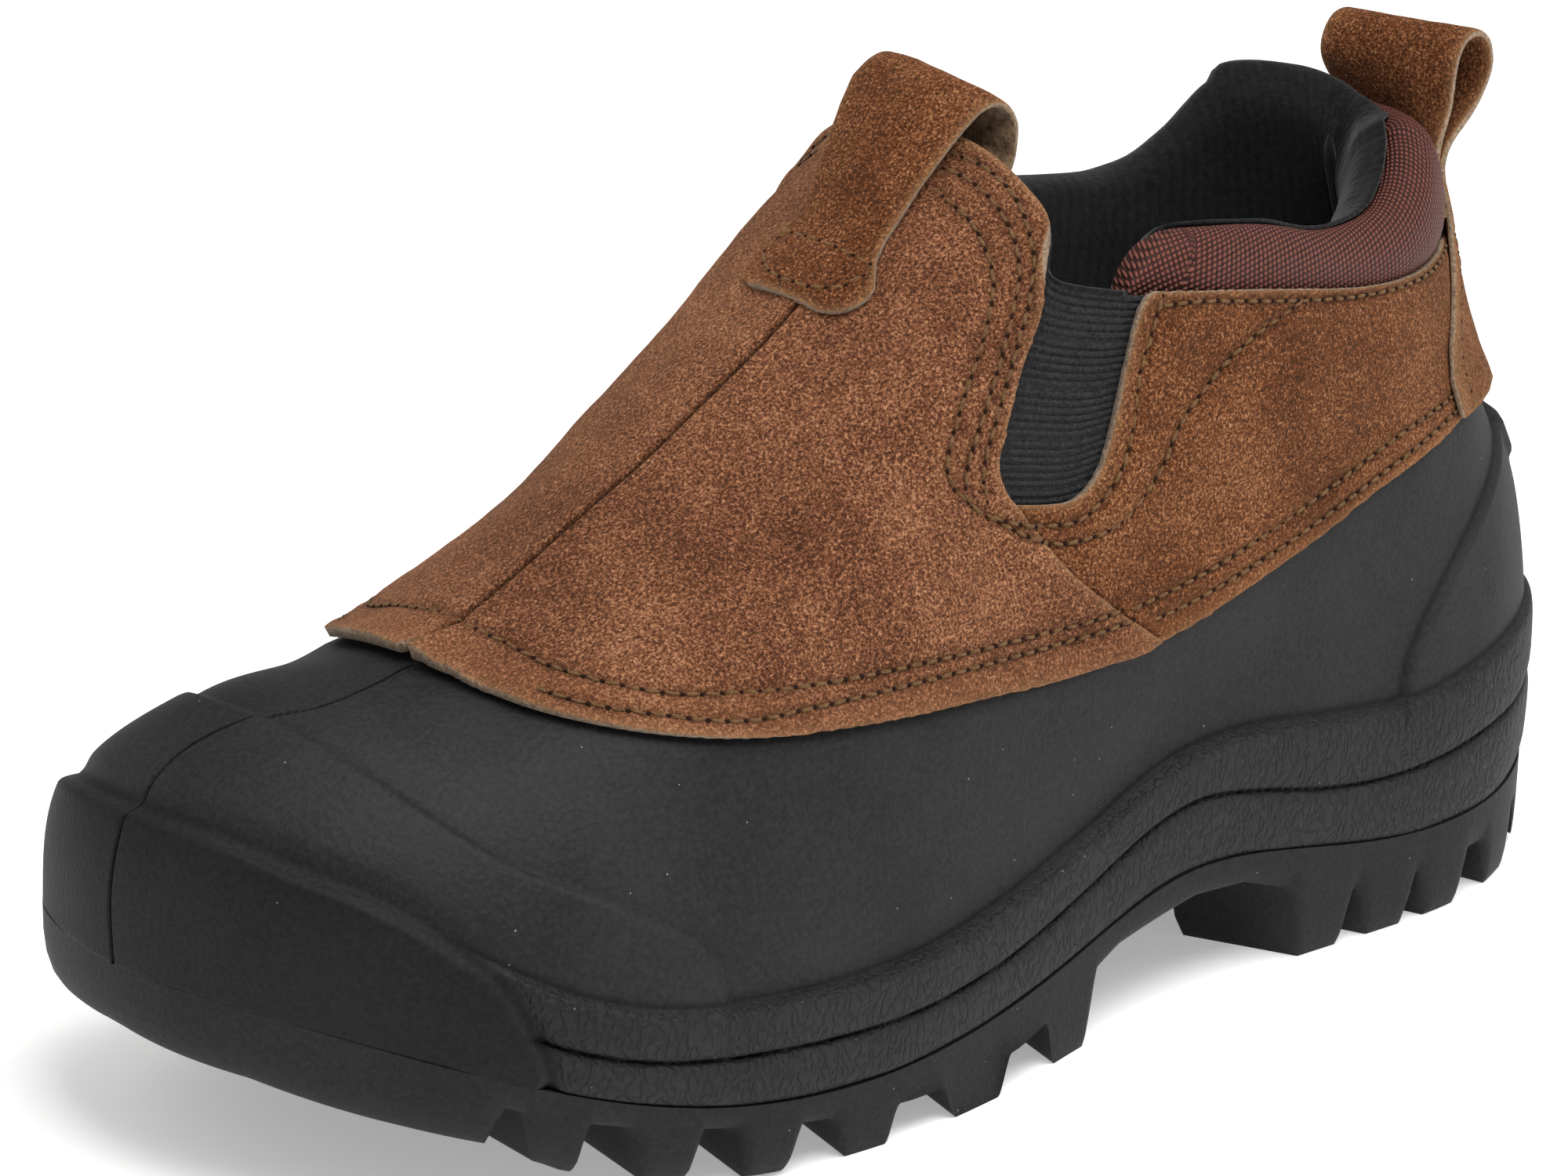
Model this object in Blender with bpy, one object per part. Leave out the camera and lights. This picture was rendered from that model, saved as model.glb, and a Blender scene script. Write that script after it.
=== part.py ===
"""Slip-on snow boot for the left foot: +X to the toe, +Y to the outer side, +Z up, standing on its lugs.

The last is one function of two numbers: u counts stations round the boot from the toe, along the lateral
side to the heel and back along the medial side; level climbs from the sole line to the topline.
Every wall is cut from that function and moved out or in by its own thickness.
"""
import bpy
import numpy as np

# Lengths in this script are in mm until the meshes are made
MM = 0.001

# Girth lines of the last, a row for each station from the toe to the heel back
# columns: x, y on the lateral side, y on the medial side, z, drop of z on the medial side
SOLE_LINE = (
    (146.0, -11.0, -11.0, 37.0, 0.0), (139.0, 16.0, -38.5, 36.0, 0.0), (124.0, 37.0, -47.0, 31.5, 0.0),
    (99.0, 51.5, -50.5, 22.5, 0.0), (66.0, 57.2, -49.5, 14.8, 0.0), (30.0, 54.8, -43.0, 13.2, 0.0),
    (-8.0, 46.6, -37.0, 18.0, 0.0), (-45.0, 40.2, -35.5, 25.0, 0.0), (-90.0, 38.4, -36.5, 19.0, 0.0),
    (-130.0, 30.6, -28.8, 19.0, 0.0), (-153.5, 0.0, 0.0, 21.0, 0.0))
BAND_TOP = (
    (142.5, -10.0, -10.0, 62.0, 0.0), (135.5, 16.5, -36.5, 61.5, 3.5), (122.0, 36.5, -46.0, 53.0, 2.0),
    (99.0, 51.0, -50.5, 39.0, 0.0), (66.0, 56.4, -49.5, 32.5, 0.0), (30.0, 53.6, -43.0, 34.0, 0.0),
    (-10.0, 45.4, -37.0, 41.5, 0.0), (-47.0, 40.0, -35.5, 46.6, 0.0), (-90.0, 38.2, -36.5, 44.3, 0.0),
    (-130.5, 30.2, -28.6, 47.8, 0.0), (-154.5, 0.0, 0.0, 50.0, 0.0))
SHOULDER = (
    (121.5, -6.0, -6.0, 74.6, 0.0), (116.5, 18.5, -28.5, 72.6, 1.2), (105.0, 38.0, -42.5, 63.0, 2.0),
    (84.0, 49.0, -48.0, 55.0, 1.5), (52.0, 52.5, -46.5, 52.0, 0.0), (20.0, 49.8, -41.0, 52.0, 0.0),
    (-18.0, 43.8, -36.5, 55.0, 0.0), (-52.0, 39.0, -35.2, 59.0, 0.0), (-90.0, 36.2, -34.5, 64.0, 0.0),
    (-128.0, 27.2, -26.0, 67.5, 0.0), (-152.5, 0.0, 0.0, 70.0, 0.0))
HEM = (
    (95.0, -3.0, -3.0, 80.2, 0.0), (92.5, 17.0, -23.0, 79.0, 2.8), (86.0, 31.0, -34.5, 77.2, 4.6),
    (69.0, 43.0, -42.0, 74.0, 3.2), (40.0, 47.5, -42.0, 71.0, 1.2), (10.0, 46.0, -38.4, 69.4, 0.0),
    (-22.0, 42.6, -36.0, 68.7, 0.0), (-55.0, 38.6, -34.8, 73.6, 0.0), (-90.0, 34.4, -32.8, 82.8, 0.0),
    (-123.5, 24.2, -23.0, 86.2, 0.0), (-145.5, 0.0, 0.0, 86.0, 0.0))
WAIST = (
    (48.0, -1.5, -1.5, 108.4, 0.0), (45.5, 15.0, -17.0, 106.2, 2.0), (38.0, 28.6, -28.0, 102.4, 3.0),
    (25.0, 35.4, -32.5, 100.6, 2.0), (7.0, 38.0, -34.2, 100.6, 0.0), (-8.5, 39.2, -34.6, 98.4, 0.0),
    (-22.0, 39.6, -34.8, 99.2, 0.0), (-56.0, 37.6, -34.4, 100.4, 0.0), (-88.0, 33.4, -31.8, 102.0, 0.0),
    (-117.0, 22.6, -21.8, 103.0, 0.0), (-137.0, 0.0, 0.0, 103.0, 0.0))
TOPLINE = (
    (-14.0, 0.0, 0.0, 153.4, 0.0), (-15.8, 12.0, -14.5, 151.6, -0.4), (-16.9, 22.0, -26.5, 147.0, -0.8),
    (-16.6, 28.5, -33.0, 141.6, -0.8), (-13.4, 33.0, -36.2, 136.0, 0.0), (-23.5, 35.0, -36.4, 132.4, 0.0),
    (-34.0, 35.8, -36.0, 130.2, 0.0), (-60.0, 36.0, -34.8, 126.4, 0.0), (-88.0, 32.0, -30.8, 121.2, 0.0),
    (-113.5, 22.0, -21.4, 119.6, 0.0), (-130.5, 0.0, 0.0, 120.0, 0.0))
GIRTHS = (SOLE_LINE, BAND_TOP, SHOULDER, HEM, WAIST, TOPLINE)
# Levels of the named girth lines
AT_SOLE, AT_BAND, AT_SHOULDER, AT_HEM, AT_WAIST, AT_TOP = range(6)

# Height of the tread and of the notch roof, by station
TREAD_Z = ((0.0, 25.0), (1.0, 22.5), (2.0, 17.0), (2.45, 13.5), (2.9, 7.5), (3.5, 2.5), (4.0, 0.3), (4.3, 0.0), (9.1, 0.0),
           (9.4, 1.5), (9.7, 5.0), (10.0, 8.0))
NOTCH_Z = ((0.0, 25.0), (1.0, 22.5), (2.0, 17.0), (2.45, 13.5), (2.56, 20.0), (2.85, 17.0), (3.45, 12.4), (4.18, 8.2),
           (4.87, 6.4), (5.6, 7.1), (6.0, 10.0), (6.4, 16.0), (7.0, 19.0), (7.3, 18.0), (7.6, 13.0), (7.9, 10.0), (9.0, 9.5),
           (10.0, 12.0))
# How far the tread's edge is drawn in from the sole's side, by station
TREAD_IN = ((0.0, 3.0), (1.0, 3.5), (2.0, 5.0), (2.5, 6.5), (3.0, 6.0), (3.5, 5.5), (4.0, 4.0), (4.5, 1.2), (5.0, -0.6),
            (5.5, -1.0), (6.2, 1.0), (7.5, 2.0), (9.0, 1.6), (10.0, -1.0))
# Lugs by station: front edge and rear edge on the ground
LUGS = (
    (2.74, 2.96), (3.34, 3.55), (3.92, 4.13), (4.48, 4.71), (5.15, 5.43), (5.90, 6.14),
    (7.62, 7.82), (8.00, 8.20), (8.36, 8.57), (8.87, 9.08), (9.40, 9.62))
LUG_WALL = 0.09          # stations taken by a lug's sloping wall
# Stations by which a row of lugs runs towards the toe at the middle, by station
CHEVRON = ((0.0, 0.0), (2.4, 0.0), (3.0, -0.22), (6.2, -0.22), (7.5, 0.34), (8.6, 0.26), (9.3, 0.05), (9.6, 0.0),
           (10.0, 0.0))
# Shares of the width, lateral to medial, and whether a lug stands there
TREAD_ACROSS = ((0.0, 0), (0.014, 1), (0.27, 1), (0.30, 0), (0.385, 0), (0.415, 1), (0.585, 1), (0.615, 0), (0.70, 0),
                (0.73, 1), (0.986, 1), (1.0, 0))
TOE_BLUNT = 0.1          # stations left out at the toe and the heel back, where the two sides meet
# Wall thicknesses and fits
GAP = 0.3
SHELL_INNER = -2.6
BAND_OUT = 2.6
BAND_GROOVE = 1.5
BUMPER_OUT = 3.4
CAP_OUT = 0.9
SUEDE_IN = GAP
SUEDE_OUT = 2.1
GORE_OUT = -0.2
GORE_IN = -1.7
STRAP_IN = SUEDE_OUT + GAP
STRAP_OUT = STRAP_IN + 1.8
INSOLE_INSET = -4.4
INSOLE_THICK = 5.0
INSOLE_LIFT = 0.9        # clear of the coarser facets of the sole's top
SHELL_LAP = 0.42         # levels by which the shell runs up behind the suede
BUMPER_END = 2.75        # station where the toe bumper gives way to the band
CAP_END = 3.45
COUNTER_START = 8.35
GORE_SPAN = (4.0, 6.0)   # stations of the notch beside the throat
GORE_TUCK = 0.28
COLLAR_SPAN = (6.34, 13.66)
# Padded roll: out from the last, share of the height above the topline, drop below it in mm
COLLAR_SECTION = (
    (-0.3, 0.0, 20.0), (-0.4, 0.0, 1.0), (0.6, 0.15, 0.0), (1.3, 0.5, 0.0), (0.2, 0.85, 0.0), (-3.6, 1.0, 0.0),
    (-7.6, 0.90, 0.0), (-9.6, 0.5, 0.0), (-9.8, 0.0, 2.0), (-8.6, 0.0, 16.0), (-4.5, 0.0, 22.0))
# Height of the roll above the topline, by station, on the lateral and on the medial side
COLLAR_LATERAL = ((6.34, 5.5), (6.55, 9.0), (7.0, 10.5), (7.6, 9.5), (8.2, 10.5), (8.7, 13.5), (9.2, 20.0), (9.6, 25.0),
                  (10.0, 26.5))
COLLAR_MEDIAL = ((6.34, 3.5), (7.35, 5.0), (7.8, 7.5), (8.2, 13.5), (8.6, 22.5), (9.0, 28.5), (9.4, 29.0), (10.0, 26.5))
COLLAR_BACK = 0.75       # stations either side of the heel where the roll is drawn in for the strap
FRONT_STRAP = 13.5       # half widths of the straps
REAR_STRAP = 12.5
# Path of each strap beyond the edge that it climbs: forward, up
FRONT_FOLD = ((0.8, 2.8), (1.6, 5.6), (0.0, 8.0), (-4.0, 8.6), (-7.6, 6.4), (-8.6, 2.2), (-7.4, -1.6), (-4.2, -4.5),
              (-0.6, -6.6), (2.4, -9.0))
REAR_FOLD = ((2.2, 8.0), (1.2, 16.0), (-3.6, 24.0), (-6.2, 31.0), (-3.6, 36.4), (1.6, 36.8), (6.0, 32.8), (7.6, 26.0),
             (7.6, 20.0), (6.6, 14.0), (4.9, 8.0), (3.2, 2.6))
FRONT_STRAP_LEVELS = (4.47, 4.58, 4.7, 4.8, 4.9, 5.0)
REAR_STRAP_LEVELS = (3.04, 3.3, 3.6, 4.0, 4.4, 4.8, 5.0)
STRAP_ACROSS = (-1.0, -0.5, 0.0, 0.5, 1.0)
STRAIGHTEN = 1.0         # how far a fold is straighter than the edge that it leaves
COLUMNS_PER_STATION = 3

STATIONS = len(SOLE_LINE)
HALF = STATIONS - 1
ROUND = 2 * HALF


def girth_ring(rows):
    """One girth line as a closed ring: toe, lateral side, heel, medial side."""
    table = np.array(rows, float)
    lateral = table[:, [0, 1, 3]]
    medial = table[-2:0:-1, [0, 2, 3]]
    medial[:, 2] -= table[-2:0:-1, 4]
    return np.vstack([lateral, medial])


RINGS = np.stack([girth_ring(rows) for rows in GIRTHS])


def ring_knots():
    """Knots round the boot: the mean chord between stations, the same on both sides."""
    step = np.linalg.norm(np.roll(RINGS, -1, axis=1) - RINGS, axis=2).mean(axis=0)
    half = 0.5 * (step[:HALF] + step[HALF:][::-1])
    return np.concatenate([[0.0], np.cumsum(np.concatenate([half, half[::-1]]))])


KNOTS = ring_knots()


def ring_moments(values):
    """Second derivatives of the closed cubic through a ring's points."""
    h = np.diff(KNOTS)
    matrix = np.zeros((ROUND, ROUND))
    right = np.zeros_like(values)
    for k in range(ROUND):
        after = (k + 1) % ROUND
        matrix[k, k - 1] += h[k - 1]
        matrix[k, k] += 2 * (h[k - 1] + h[k])
        matrix[k, after] += h[k]
        right[k] = 6 * ((values[after] - values[k]) / h[k] - (values[k] - values[k - 1]) / h[k - 1])
    return np.linalg.solve(matrix, right)


MOMENTS = np.stack([ring_moments(ring) for ring in RINGS])


def girth_points(u):
    """The girth points of each column."""
    u = np.asarray(u, float) % ROUND
    k = np.minimum(u.astype(int), ROUND - 1)
    after = (k + 1) % ROUND
    h = (KNOTS[k + 1] - KNOTS[k])[:, None]
    b = (u - k)[:, None]
    a = 1 - b
    bend = (a ** 3 - a) * MOMENTS[:, k] + (b ** 3 - b) * MOMENTS[:, after]
    return a * RINGS[:, k] + b * RINGS[:, after] + bend * h ** 2 / 6


def surface(u, level):
    """Points of the last at stations u and levels 0 to 5."""
    u, level = np.broadcast_arrays(np.atleast_1d(np.asarray(u, float)), np.atleast_1d(np.asarray(level, float)))
    points = girth_points(u)
    chord = np.linalg.norm(np.diff(points, axis=0), axis=2) ** 0.5 + 1e-6
    slope = np.diff(points, axis=0) / chord[..., None]
    wide = chord[:-1] + chord[1:]
    tangent = np.empty_like(points)
    tangent[1:-1] = slope[:-1] * (chord[1:] / wide)[..., None] + slope[1:] * (chord[:-1] / wide)[..., None]
    tangent[0] = 1.5 * slope[0] - 0.5 * tangent[1]
    tangent[-1] = 1.5 * slope[-1] - 0.5 * tangent[-2]
    i = np.clip(level.astype(int), 0, len(GIRTHS) - 2)
    t = (level - i)[:, None]
    c = np.arange(len(u))
    h = chord[i, c][:, None]
    start = (2 * t ** 3 - 3 * t ** 2 + 1) * points[i, c] + (t ** 3 - 2 * t ** 2 + t) * h * tangent[i, c]
    end = (3 * t ** 2 - 2 * t ** 3) * points[i + 1, c] + (t ** 3 - t ** 2) * h * tangent[i + 1, c]
    return start + end


def normals(u, level):
    """Unit normals of the last, facing out."""
    small = 2e-3
    u, level = np.broadcast_arrays(np.atleast_1d(np.asarray(u, float)), np.atleast_1d(np.asarray(level, float)))
    along = surface(u + small, level) - surface(u - small, level)
    up = surface(u, np.minimum(level + small, AT_TOP)) - surface(u, np.maximum(level - small, AT_SOLE))
    n = np.cross(along, up)
    return n / np.maximum(np.linalg.norm(n, axis=1, keepdims=True), 1e-12)


def skin(u, level, out):
    """Points of the last pushed out by out (mm)."""
    points = surface(u, level)
    return points + normals(u, level) * np.broadcast_to(np.asarray(out, float), len(points))[:, None]


def from_toe(u):
    """Stations from the toe, the same on both sides."""
    u = np.asarray(u, float) % ROUND
    return np.where(u <= HALF, u, ROUND - u)


def step(value, edge, width):
    """Straight ramp from 0 to 1 across an edge."""
    return np.clip((value - edge) / width + 0.5, 0.0, 1.0)


def shell_out(u, level):
    """How far the moulded shell stands out from the last: bumper, band, toe cap and heel counter."""
    h = from_toe(u)
    bumper = 1 - step(h, BUMPER_END, 0.12)
    below = 1 - step(level, AT_BAND + 0.02, 0.10)
    groove = step(level, 0.58, 0.06) * (1 - step(level, 0.68, 0.06))
    band = BAND_OUT - BAND_GROOVE * groove
    low = below * (bumper * BUMPER_OUT + (1 - bumper) * band)
    cap = (1 - step(h, CAP_END, 0.3)) + step(h, COUNTER_START, 0.3)
    raised = CAP_OUT * cap * (1 - below) * (1 - step(level, AT_SHOULDER + 0.03, 0.10))
    return low + raised


def grid_faces(rows, cols, closed):
    """Two triangles a cell for a grid of rows by cols."""
    faces = []
    for r in range(rows - 1):
        for c in range(cols if closed else cols - 1):
            n = (c + 1) % cols
            a, b, d, e = r * cols + c, r * cols + n, (r + 1) * cols + n, (r + 1) * cols + c
            faces.append(((a, b, d), (a, d, e)))
    return faces


def wall(stations, levels, outer, inner, closed, keep=None):
    """A wall between two offsets of the last, with rims at its edges; keep drops cells, as for a notch."""
    u, level = (g.ravel() for g in np.meshgrid(stations, levels))
    rows, cols = len(levels), len(stations)
    outside = skin(u, level, outer(u, level))
    inside = skin(u, level, inner(u, level))
    count = len(u)
    faces = []
    for cell in grid_faces(rows, cols, closed):
        if keep is None or keep(u[cell[0][0]], level[cell[0][0]]):
            for a, b, c in cell:
                faces.append((a, b, c))
                faces.append((c + count, b + count, a + count))
    edges = {}
    for face in faces:
        for k in range(3):
            edges[(face[k], face[(k + 1) % 3])] = True
    for a, b in list(edges):
        if a < count and b < count and (b, a) not in edges:
            faces.append((b, a, a + count))
            faces.append((b, a + count, b + count))
    return np.vstack([outside, inside]), faces


def ring_stations(extra=()):
    """Even stations round the boot, with a few named ones added."""
    even = np.arange(ROUND * COLUMNS_PER_STATION) / COLUMNS_PER_STATION
    return np.unique(np.round(np.concatenate([even, np.array(extra, float)]), 4))


def both_sides(stations):
    """Stations named on the lateral side, with their twins on the medial side."""
    return [s for h in stations for s in (h, ROUND - h)]


SHELL_STATIONS = ring_stations(both_sides((BUMPER_END - 0.06, BUMPER_END + 0.06)))
# Every wall that lies against another one shares these levels, so their facets stay parallel
LAP_LEVELS = (3.0, 3.15, 3.0 + SHELL_LAP)
SUEDE_LEVELS = LAP_LEVELS + (3.7, 4.0, 4.2, 4.45, 4.7, 4.88, 5.0)


def rubber_shell():
    """Moulded rubber foot, open on top and underneath."""
    levels = (0.0, 0.3, 0.55, 0.61, 0.65, 0.71, 0.97, 1.07, 1.4, 1.7, 1.98, 2.08, 2.5) + LAP_LEVELS
    return wall(SHELL_STATIONS, levels, shell_out, lambda u, level: SHELL_INNER + 0 * u, True)


def suede_upper():
    """Vamp and quarters, open at the collar and underneath, with a notch for each elastic panel."""
    def keep(u, level):
        h = float(from_toe(u + 0.01))
        return not (GORE_SPAN[0] < h < GORE_SPAN[1] and level > AT_WAIST - 0.01)
    return wall(SHELL_STATIONS, SUEDE_LEVELS, lambda u, level: SUEDE_OUT + 0 * u, lambda u, level: SUEDE_IN + 0 * u,
                True, keep)


def gore(medial):
    """Elastic panel behind the notch on one side."""
    first, last = GORE_SPAN[0] - GORE_TUCK, GORE_SPAN[1] + GORE_TUCK
    inner = SHELL_STATIONS[(SHELL_STATIONS > first) & (SHELL_STATIONS < last)]
    stations = np.concatenate([[first], inner, [last]])
    if medial:
        stations = ROUND - stations[::-1]
    levels = (3.84, 4.0, 4.2, 4.45, 4.7, 4.88, 4.97)
    return wall(stations, levels, lambda u, level: GORE_OUT + 0 * u, lambda u, level: GORE_IN + 0 * u, False)


def up_slope(u):
    """Direction in which the wall leaves the topline."""
    rise = surface(u, AT_TOP) - surface(u, AT_TOP - 0.25)
    return rise / np.linalg.norm(rise, axis=1, keepdims=True)


def closed_tube(sections):
    """A solid through closed sections, capped at both ends."""
    count, ring = sections.shape[:2]
    faces = []
    for s in range(count - 1):
        for k in range(ring):
            a, b = s * ring + k, s * ring + (k + 1) % ring
            faces.append((a, b, b + ring))
            faces.append((a, b + ring, a + ring))
    last = (count - 1) * ring
    for k in range(1, ring - 1):
        faces.append((0, k + 1, k))
        faces.append((last, last + k, last + k + 1))
    return sections.reshape(-1, 3), faces


def padded_collar():
    """Padded roll behind and beside the ankle, its lower half inside the quarters."""
    inner = SHELL_STATIONS[(SHELL_STATIONS > COLLAR_SPAN[0] + 0.1) & (SHELL_STATIONS < COLLAR_SPAN[1] - 0.1)]
    stations = np.concatenate([[COLLAR_SPAN[0]], inner, [COLLAR_SPAN[1]]])
    h = from_toe(stations)
    lateral, medial = by_station(COLLAR_LATERAL)(h), by_station(COLLAR_MEDIAL)(h)
    height = np.where(stations <= HALF, lateral, medial)
    back = np.clip(1 - (HALF - h) / COLLAR_BACK, 0.0, 1.0)
    base, out, up = surface(stations, AT_TOP), normals(stations, AT_TOP - 0.02), up_slope(stations)
    rows = []
    for off, share, drop in COLLAR_SECTION:
        pulled = np.where(off > -1.0, off - (off + 0.9) * back * (share > 0) - 0.5 * back, off)
        level = np.interp(drop, (0.0, 24.0), (AT_TOP, AT_TOP - 1.25))
        if drop > 0:
            rows.append(skin(stations, level, pulled))
        else:
            rows.append(base + out * pulled[:, None] + up * (share * height)[:, None])
    return closed_tube(np.stack(rows, axis=1)[:, ::-1])


def ladder(stations, level, out, across, heights, chevron=0.0):
    """Rows across the sole from the lateral edge to the medial one, each at its own height."""
    rows = []
    for share, z in zip(across, heights):
        lead = chevron * min(1.0, 1.25 * (1 - abs(2 * share - 1)))
        h = np.clip(stations - lead, TOE_BLUNT, HALF - TOE_BLUNT)
        left, right = skin(h, level, out(h)), skin(ROUND - h, level, out(h))
        row = left + (right - left) * share
        row[:, 2] = z(h)
        rows.append(row)
    return np.stack(rows, axis=1)


def slab(top, bottom):
    """A closed solid between two ladders of the same size."""
    count, wide = top.shape[:2]
    size = count * wide
    points = np.vstack([top.reshape(-1, 3), bottom.reshape(-1, 3)])
    faces = []
    for s in range(count - 1):
        for k in range(wide - 1):
            a, b, d, e = s * wide + k, s * wide + k + 1, (s + 1) * wide + k + 1, (s + 1) * wide + k
            faces += [(a, b, d), (a, d, e), (size + d, size + b, size + a), (size + e, size + d, size + a)]
    border = [s * wide for s in range(count)] + [(count - 1) * wide + k for k in range(1, wide)]
    border += [s * wide + wide - 1 for s in range(count - 2, -1, -1)] + [k for k in range(wide - 2, 0, -1)]
    for k, a in enumerate(border):
        b = border[(k + 1) % len(border)]
        faces += [(a, b, size + b), (a, size + b, size + a)]
    return points, faces


def by_station(table):
    """A function of the station from a table of two columns."""
    knots = np.array(table, float).T
    return lambda h: np.interp(h, *knots)


def sole_edge(h):
    """How far the sole's side stands out from the last."""
    return BAND_OUT + (BUMPER_OUT - BAND_OUT) * (1 - step(h, BUMPER_END, 0.12))


def sole_line_z(h):
    """Height of the line where the shell sits on the sole."""
    return surface(h, AT_SOLE)[:, 2]


def outsole():
    """Lugged sole: flush side, lifted arch, toe spring, heel and rows of lugs."""
    edges = [e for front, rear in LUGS for e in (front - LUG_WALL, front, rear, rear + LUG_WALL)]
    plain = (TOE_BLUNT, 0.35, 0.7, 1.0, 1.35, 1.7, 2.0, 2.3, 2.45, 2.56, 6.5, 6.75, 7.0, 7.3, 9.8,
             HALF - TOE_BLUNT)
    stations = np.unique(np.array(edges + list(plain)))
    flag = np.zeros(len(stations))
    for front, rear in LUGS:
        flag[(stations > front - 1e-6) & (stations < rear + 1e-6)] = 1.0
    tread, notch, narrow = by_station(TREAD_Z), by_station(NOTCH_Z), by_station(TREAD_IN)
    across = [share for share, lug in TREAD_ACROSS]
    top = ladder(stations, AT_SOLE, sole_edge, across, [lambda h: sole_line_z(h) - GAP] * len(across))
    heights = [lambda h, lug=lug: notch(h) + (tread(h) - notch(h)) * flag * lug for share, lug in TREAD_ACROSS]
    bottom = ladder(stations, AT_SOLE, lambda h: sole_edge(h) - narrow(h), across, heights,
                    by_station(CHEVRON)(stations))
    return slab(top, bottom)


def insole():
    """Foam footbed lying on the sole inside the shell."""
    stations = np.unique(np.concatenate([[TOE_BLUNT, HALF - TOE_BLUNT], np.arange(1, 3 * HALF) / 3]))
    across = (0.0, 0.08, 0.5, 0.92, 1.0)
    dish = (1.5, 0.0, -0.6, 0.0, 1.5)
    low = [lambda h: sole_line_z(h) + INSOLE_LIFT] * len(across)
    high = [lambda h, d=d: sole_line_z(h) + INSOLE_LIFT + INSOLE_THICK + d for d in dish]
    top = ladder(stations, 0.35, lambda h: INSOLE_INSET + 0 * h, across, high)
    bottom = ladder(stations, 0.35, lambda h: INSOLE_INSET + 0 * h, across, low)
    return slab(top, bottom)


def station_of(middle, level, y):
    """Station near a middle one where the last has a given y."""
    near = middle + np.linspace(-1.6, 1.6, 161)
    found = surface(near, level)[:, 1]
    order = np.argsort(found)
    return float(np.interp(y, found[order], near[order]))


def strap(middle, half, levels, fold):
    """A strap lying on the suede, carried beyond the edge and folded back; the fold is straighter than the edge."""
    half_thick = 0.5 * (STRAP_OUT - STRAP_IN)
    lying = []
    for level in levels:
        u = np.array([station_of(middle, level, half * share) for share in STRAP_ACROSS])
        lying.append(skin(u, level, STRAP_IN + half_thick))
    lying = np.stack(lying)
    edge = lying[-1]
    straight = edge[len(STRAP_ACROSS) // 2] + np.array([(0.0, half * share, 0.0) for share in STRAP_ACROSS])
    move = np.array([(forward, 0.0, up) for forward, up in fold])
    ease = STRAIGHTEN * np.clip(move[:, 2] / move[:, 2].max(), 0.0, 1.0) ** 0.5
    free = edge + (straight - edge) * ease[:, None, None] + move[:, None, :]
    paths = np.concatenate([lying, free])
    run = np.gradient(paths, axis=0)
    side = np.stack([run[..., 2], np.zeros_like(run[..., 0]), -run[..., 0]], axis=-1)
    side /= np.linalg.norm(side, axis=-1, keepdims=True)
    sections = np.concatenate([paths + side * half_thick, (paths - side * half_thick)[:, ::-1]], axis=1)
    return closed_tube(sections)


def front_pull_loop():
    """Suede strap sewn on the throat and folded over its edge."""
    return strap(0.0, FRONT_STRAP, FRONT_STRAP_LEVELS, FRONT_FOLD)


def rear_pull_loop():
    """Suede strap that covers the heel seam and stands up as a loop."""
    return strap(float(HALF), REAR_STRAP, REAR_STRAP_LEVELS, REAR_FOLD)


# Parts in the order of making: name, build, colour, roughness
PARTS = (
    ("outsole", outsole, (0.022, 0.022, 0.023), 0.75),
    ("rubber_shell", rubber_shell, (0.028, 0.028, 0.030), 0.55),
    ("insole", insole, (0.015, 0.015, 0.016), 0.95),
    ("suede_upper", suede_upper, (0.19, 0.085, 0.038), 0.95),
    ("gore_lateral", lambda: gore(False), (0.012, 0.012, 0.013), 0.85),
    ("gore_medial", lambda: gore(True), (0.012, 0.012, 0.013), 0.85),
    ("padded_collar", padded_collar, (0.095, 0.040, 0.033), 0.9),
    ("front_pull_loop", front_pull_loop, (0.20, 0.095, 0.044), 0.95),
    ("rear_pull_loop", rear_pull_loop, (0.20, 0.095, 0.044), 0.95),
)


def signed_volume(points, faces):
    """Six times the volume inside the faces, positive when they face out."""
    a, b, c = (points[np.array(faces)[:, k]] for k in range(3))
    return float(np.einsum("ij,ij->i", a, np.cross(b, c)).sum())


def add_object(name, points, faces, colour, roughness):
    """One closed mesh object with its own material."""
    if signed_volume(points, faces) < 0:
        faces = [face[::-1] for face in faces]
    mesh = bpy.data.meshes.new(name)
    mesh.from_pydata((points * MM).tolist(), [], faces)
    mesh.validate()
    material = bpy.data.materials.new(name + "_finish")
    material.use_nodes = True
    shader = material.node_tree.nodes["Principled BSDF"]
    shader.inputs["Base Color"].default_value = (*colour, 1.0)
    shader.inputs["Roughness"].default_value = roughness
    mesh.materials.append(material)
    made = bpy.data.objects.new(name, mesh)
    bpy.context.scene.collection.objects.link(made)
    return made


def main():
    """Clear the scene, make every part and stand the boot on the middle of its box."""
    for old in list(bpy.data.objects):
        bpy.data.objects.remove(old, do_unlink=True)
    solids = [(name, *build(), colour, roughness) for name, build, colour, roughness in PARTS]
    cloud = np.vstack([points for _, points, _, _, _ in solids])
    low, high = cloud.min(axis=0), cloud.max(axis=0)
    place = np.array([-0.5 * (low[0] + high[0]), -0.5 * (low[1] + high[1]), -low[2]])
    print("box mm", np.round(high - low, 2).tolist(), "moved by", np.round(place, 4).tolist())
    for name, points, faces, colour, roughness in solids:
        add_object(name, points + place, faces, colour, roughness)
    return place


PLACE = main()
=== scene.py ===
"""Looks of a slip-on snow boot for the left foot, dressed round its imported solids.

The last is one function of two numbers, as in the part's source: u counts stations round the boot from the
toe, along the lateral side to the heel and back along the medial side; level climbs from the sole line to
the topline. Lengths are in mm, in the last's own axes, until a mesh is made.
"""
from __future__ import annotations

import logging
import math
from dataclasses import dataclass, field
from enum import Enum
from typing import Callable, Sequence

import bpy
import numpy as np
from mathutils import Matrix, Vector
from mathutils.kdtree import KDTree

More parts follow.
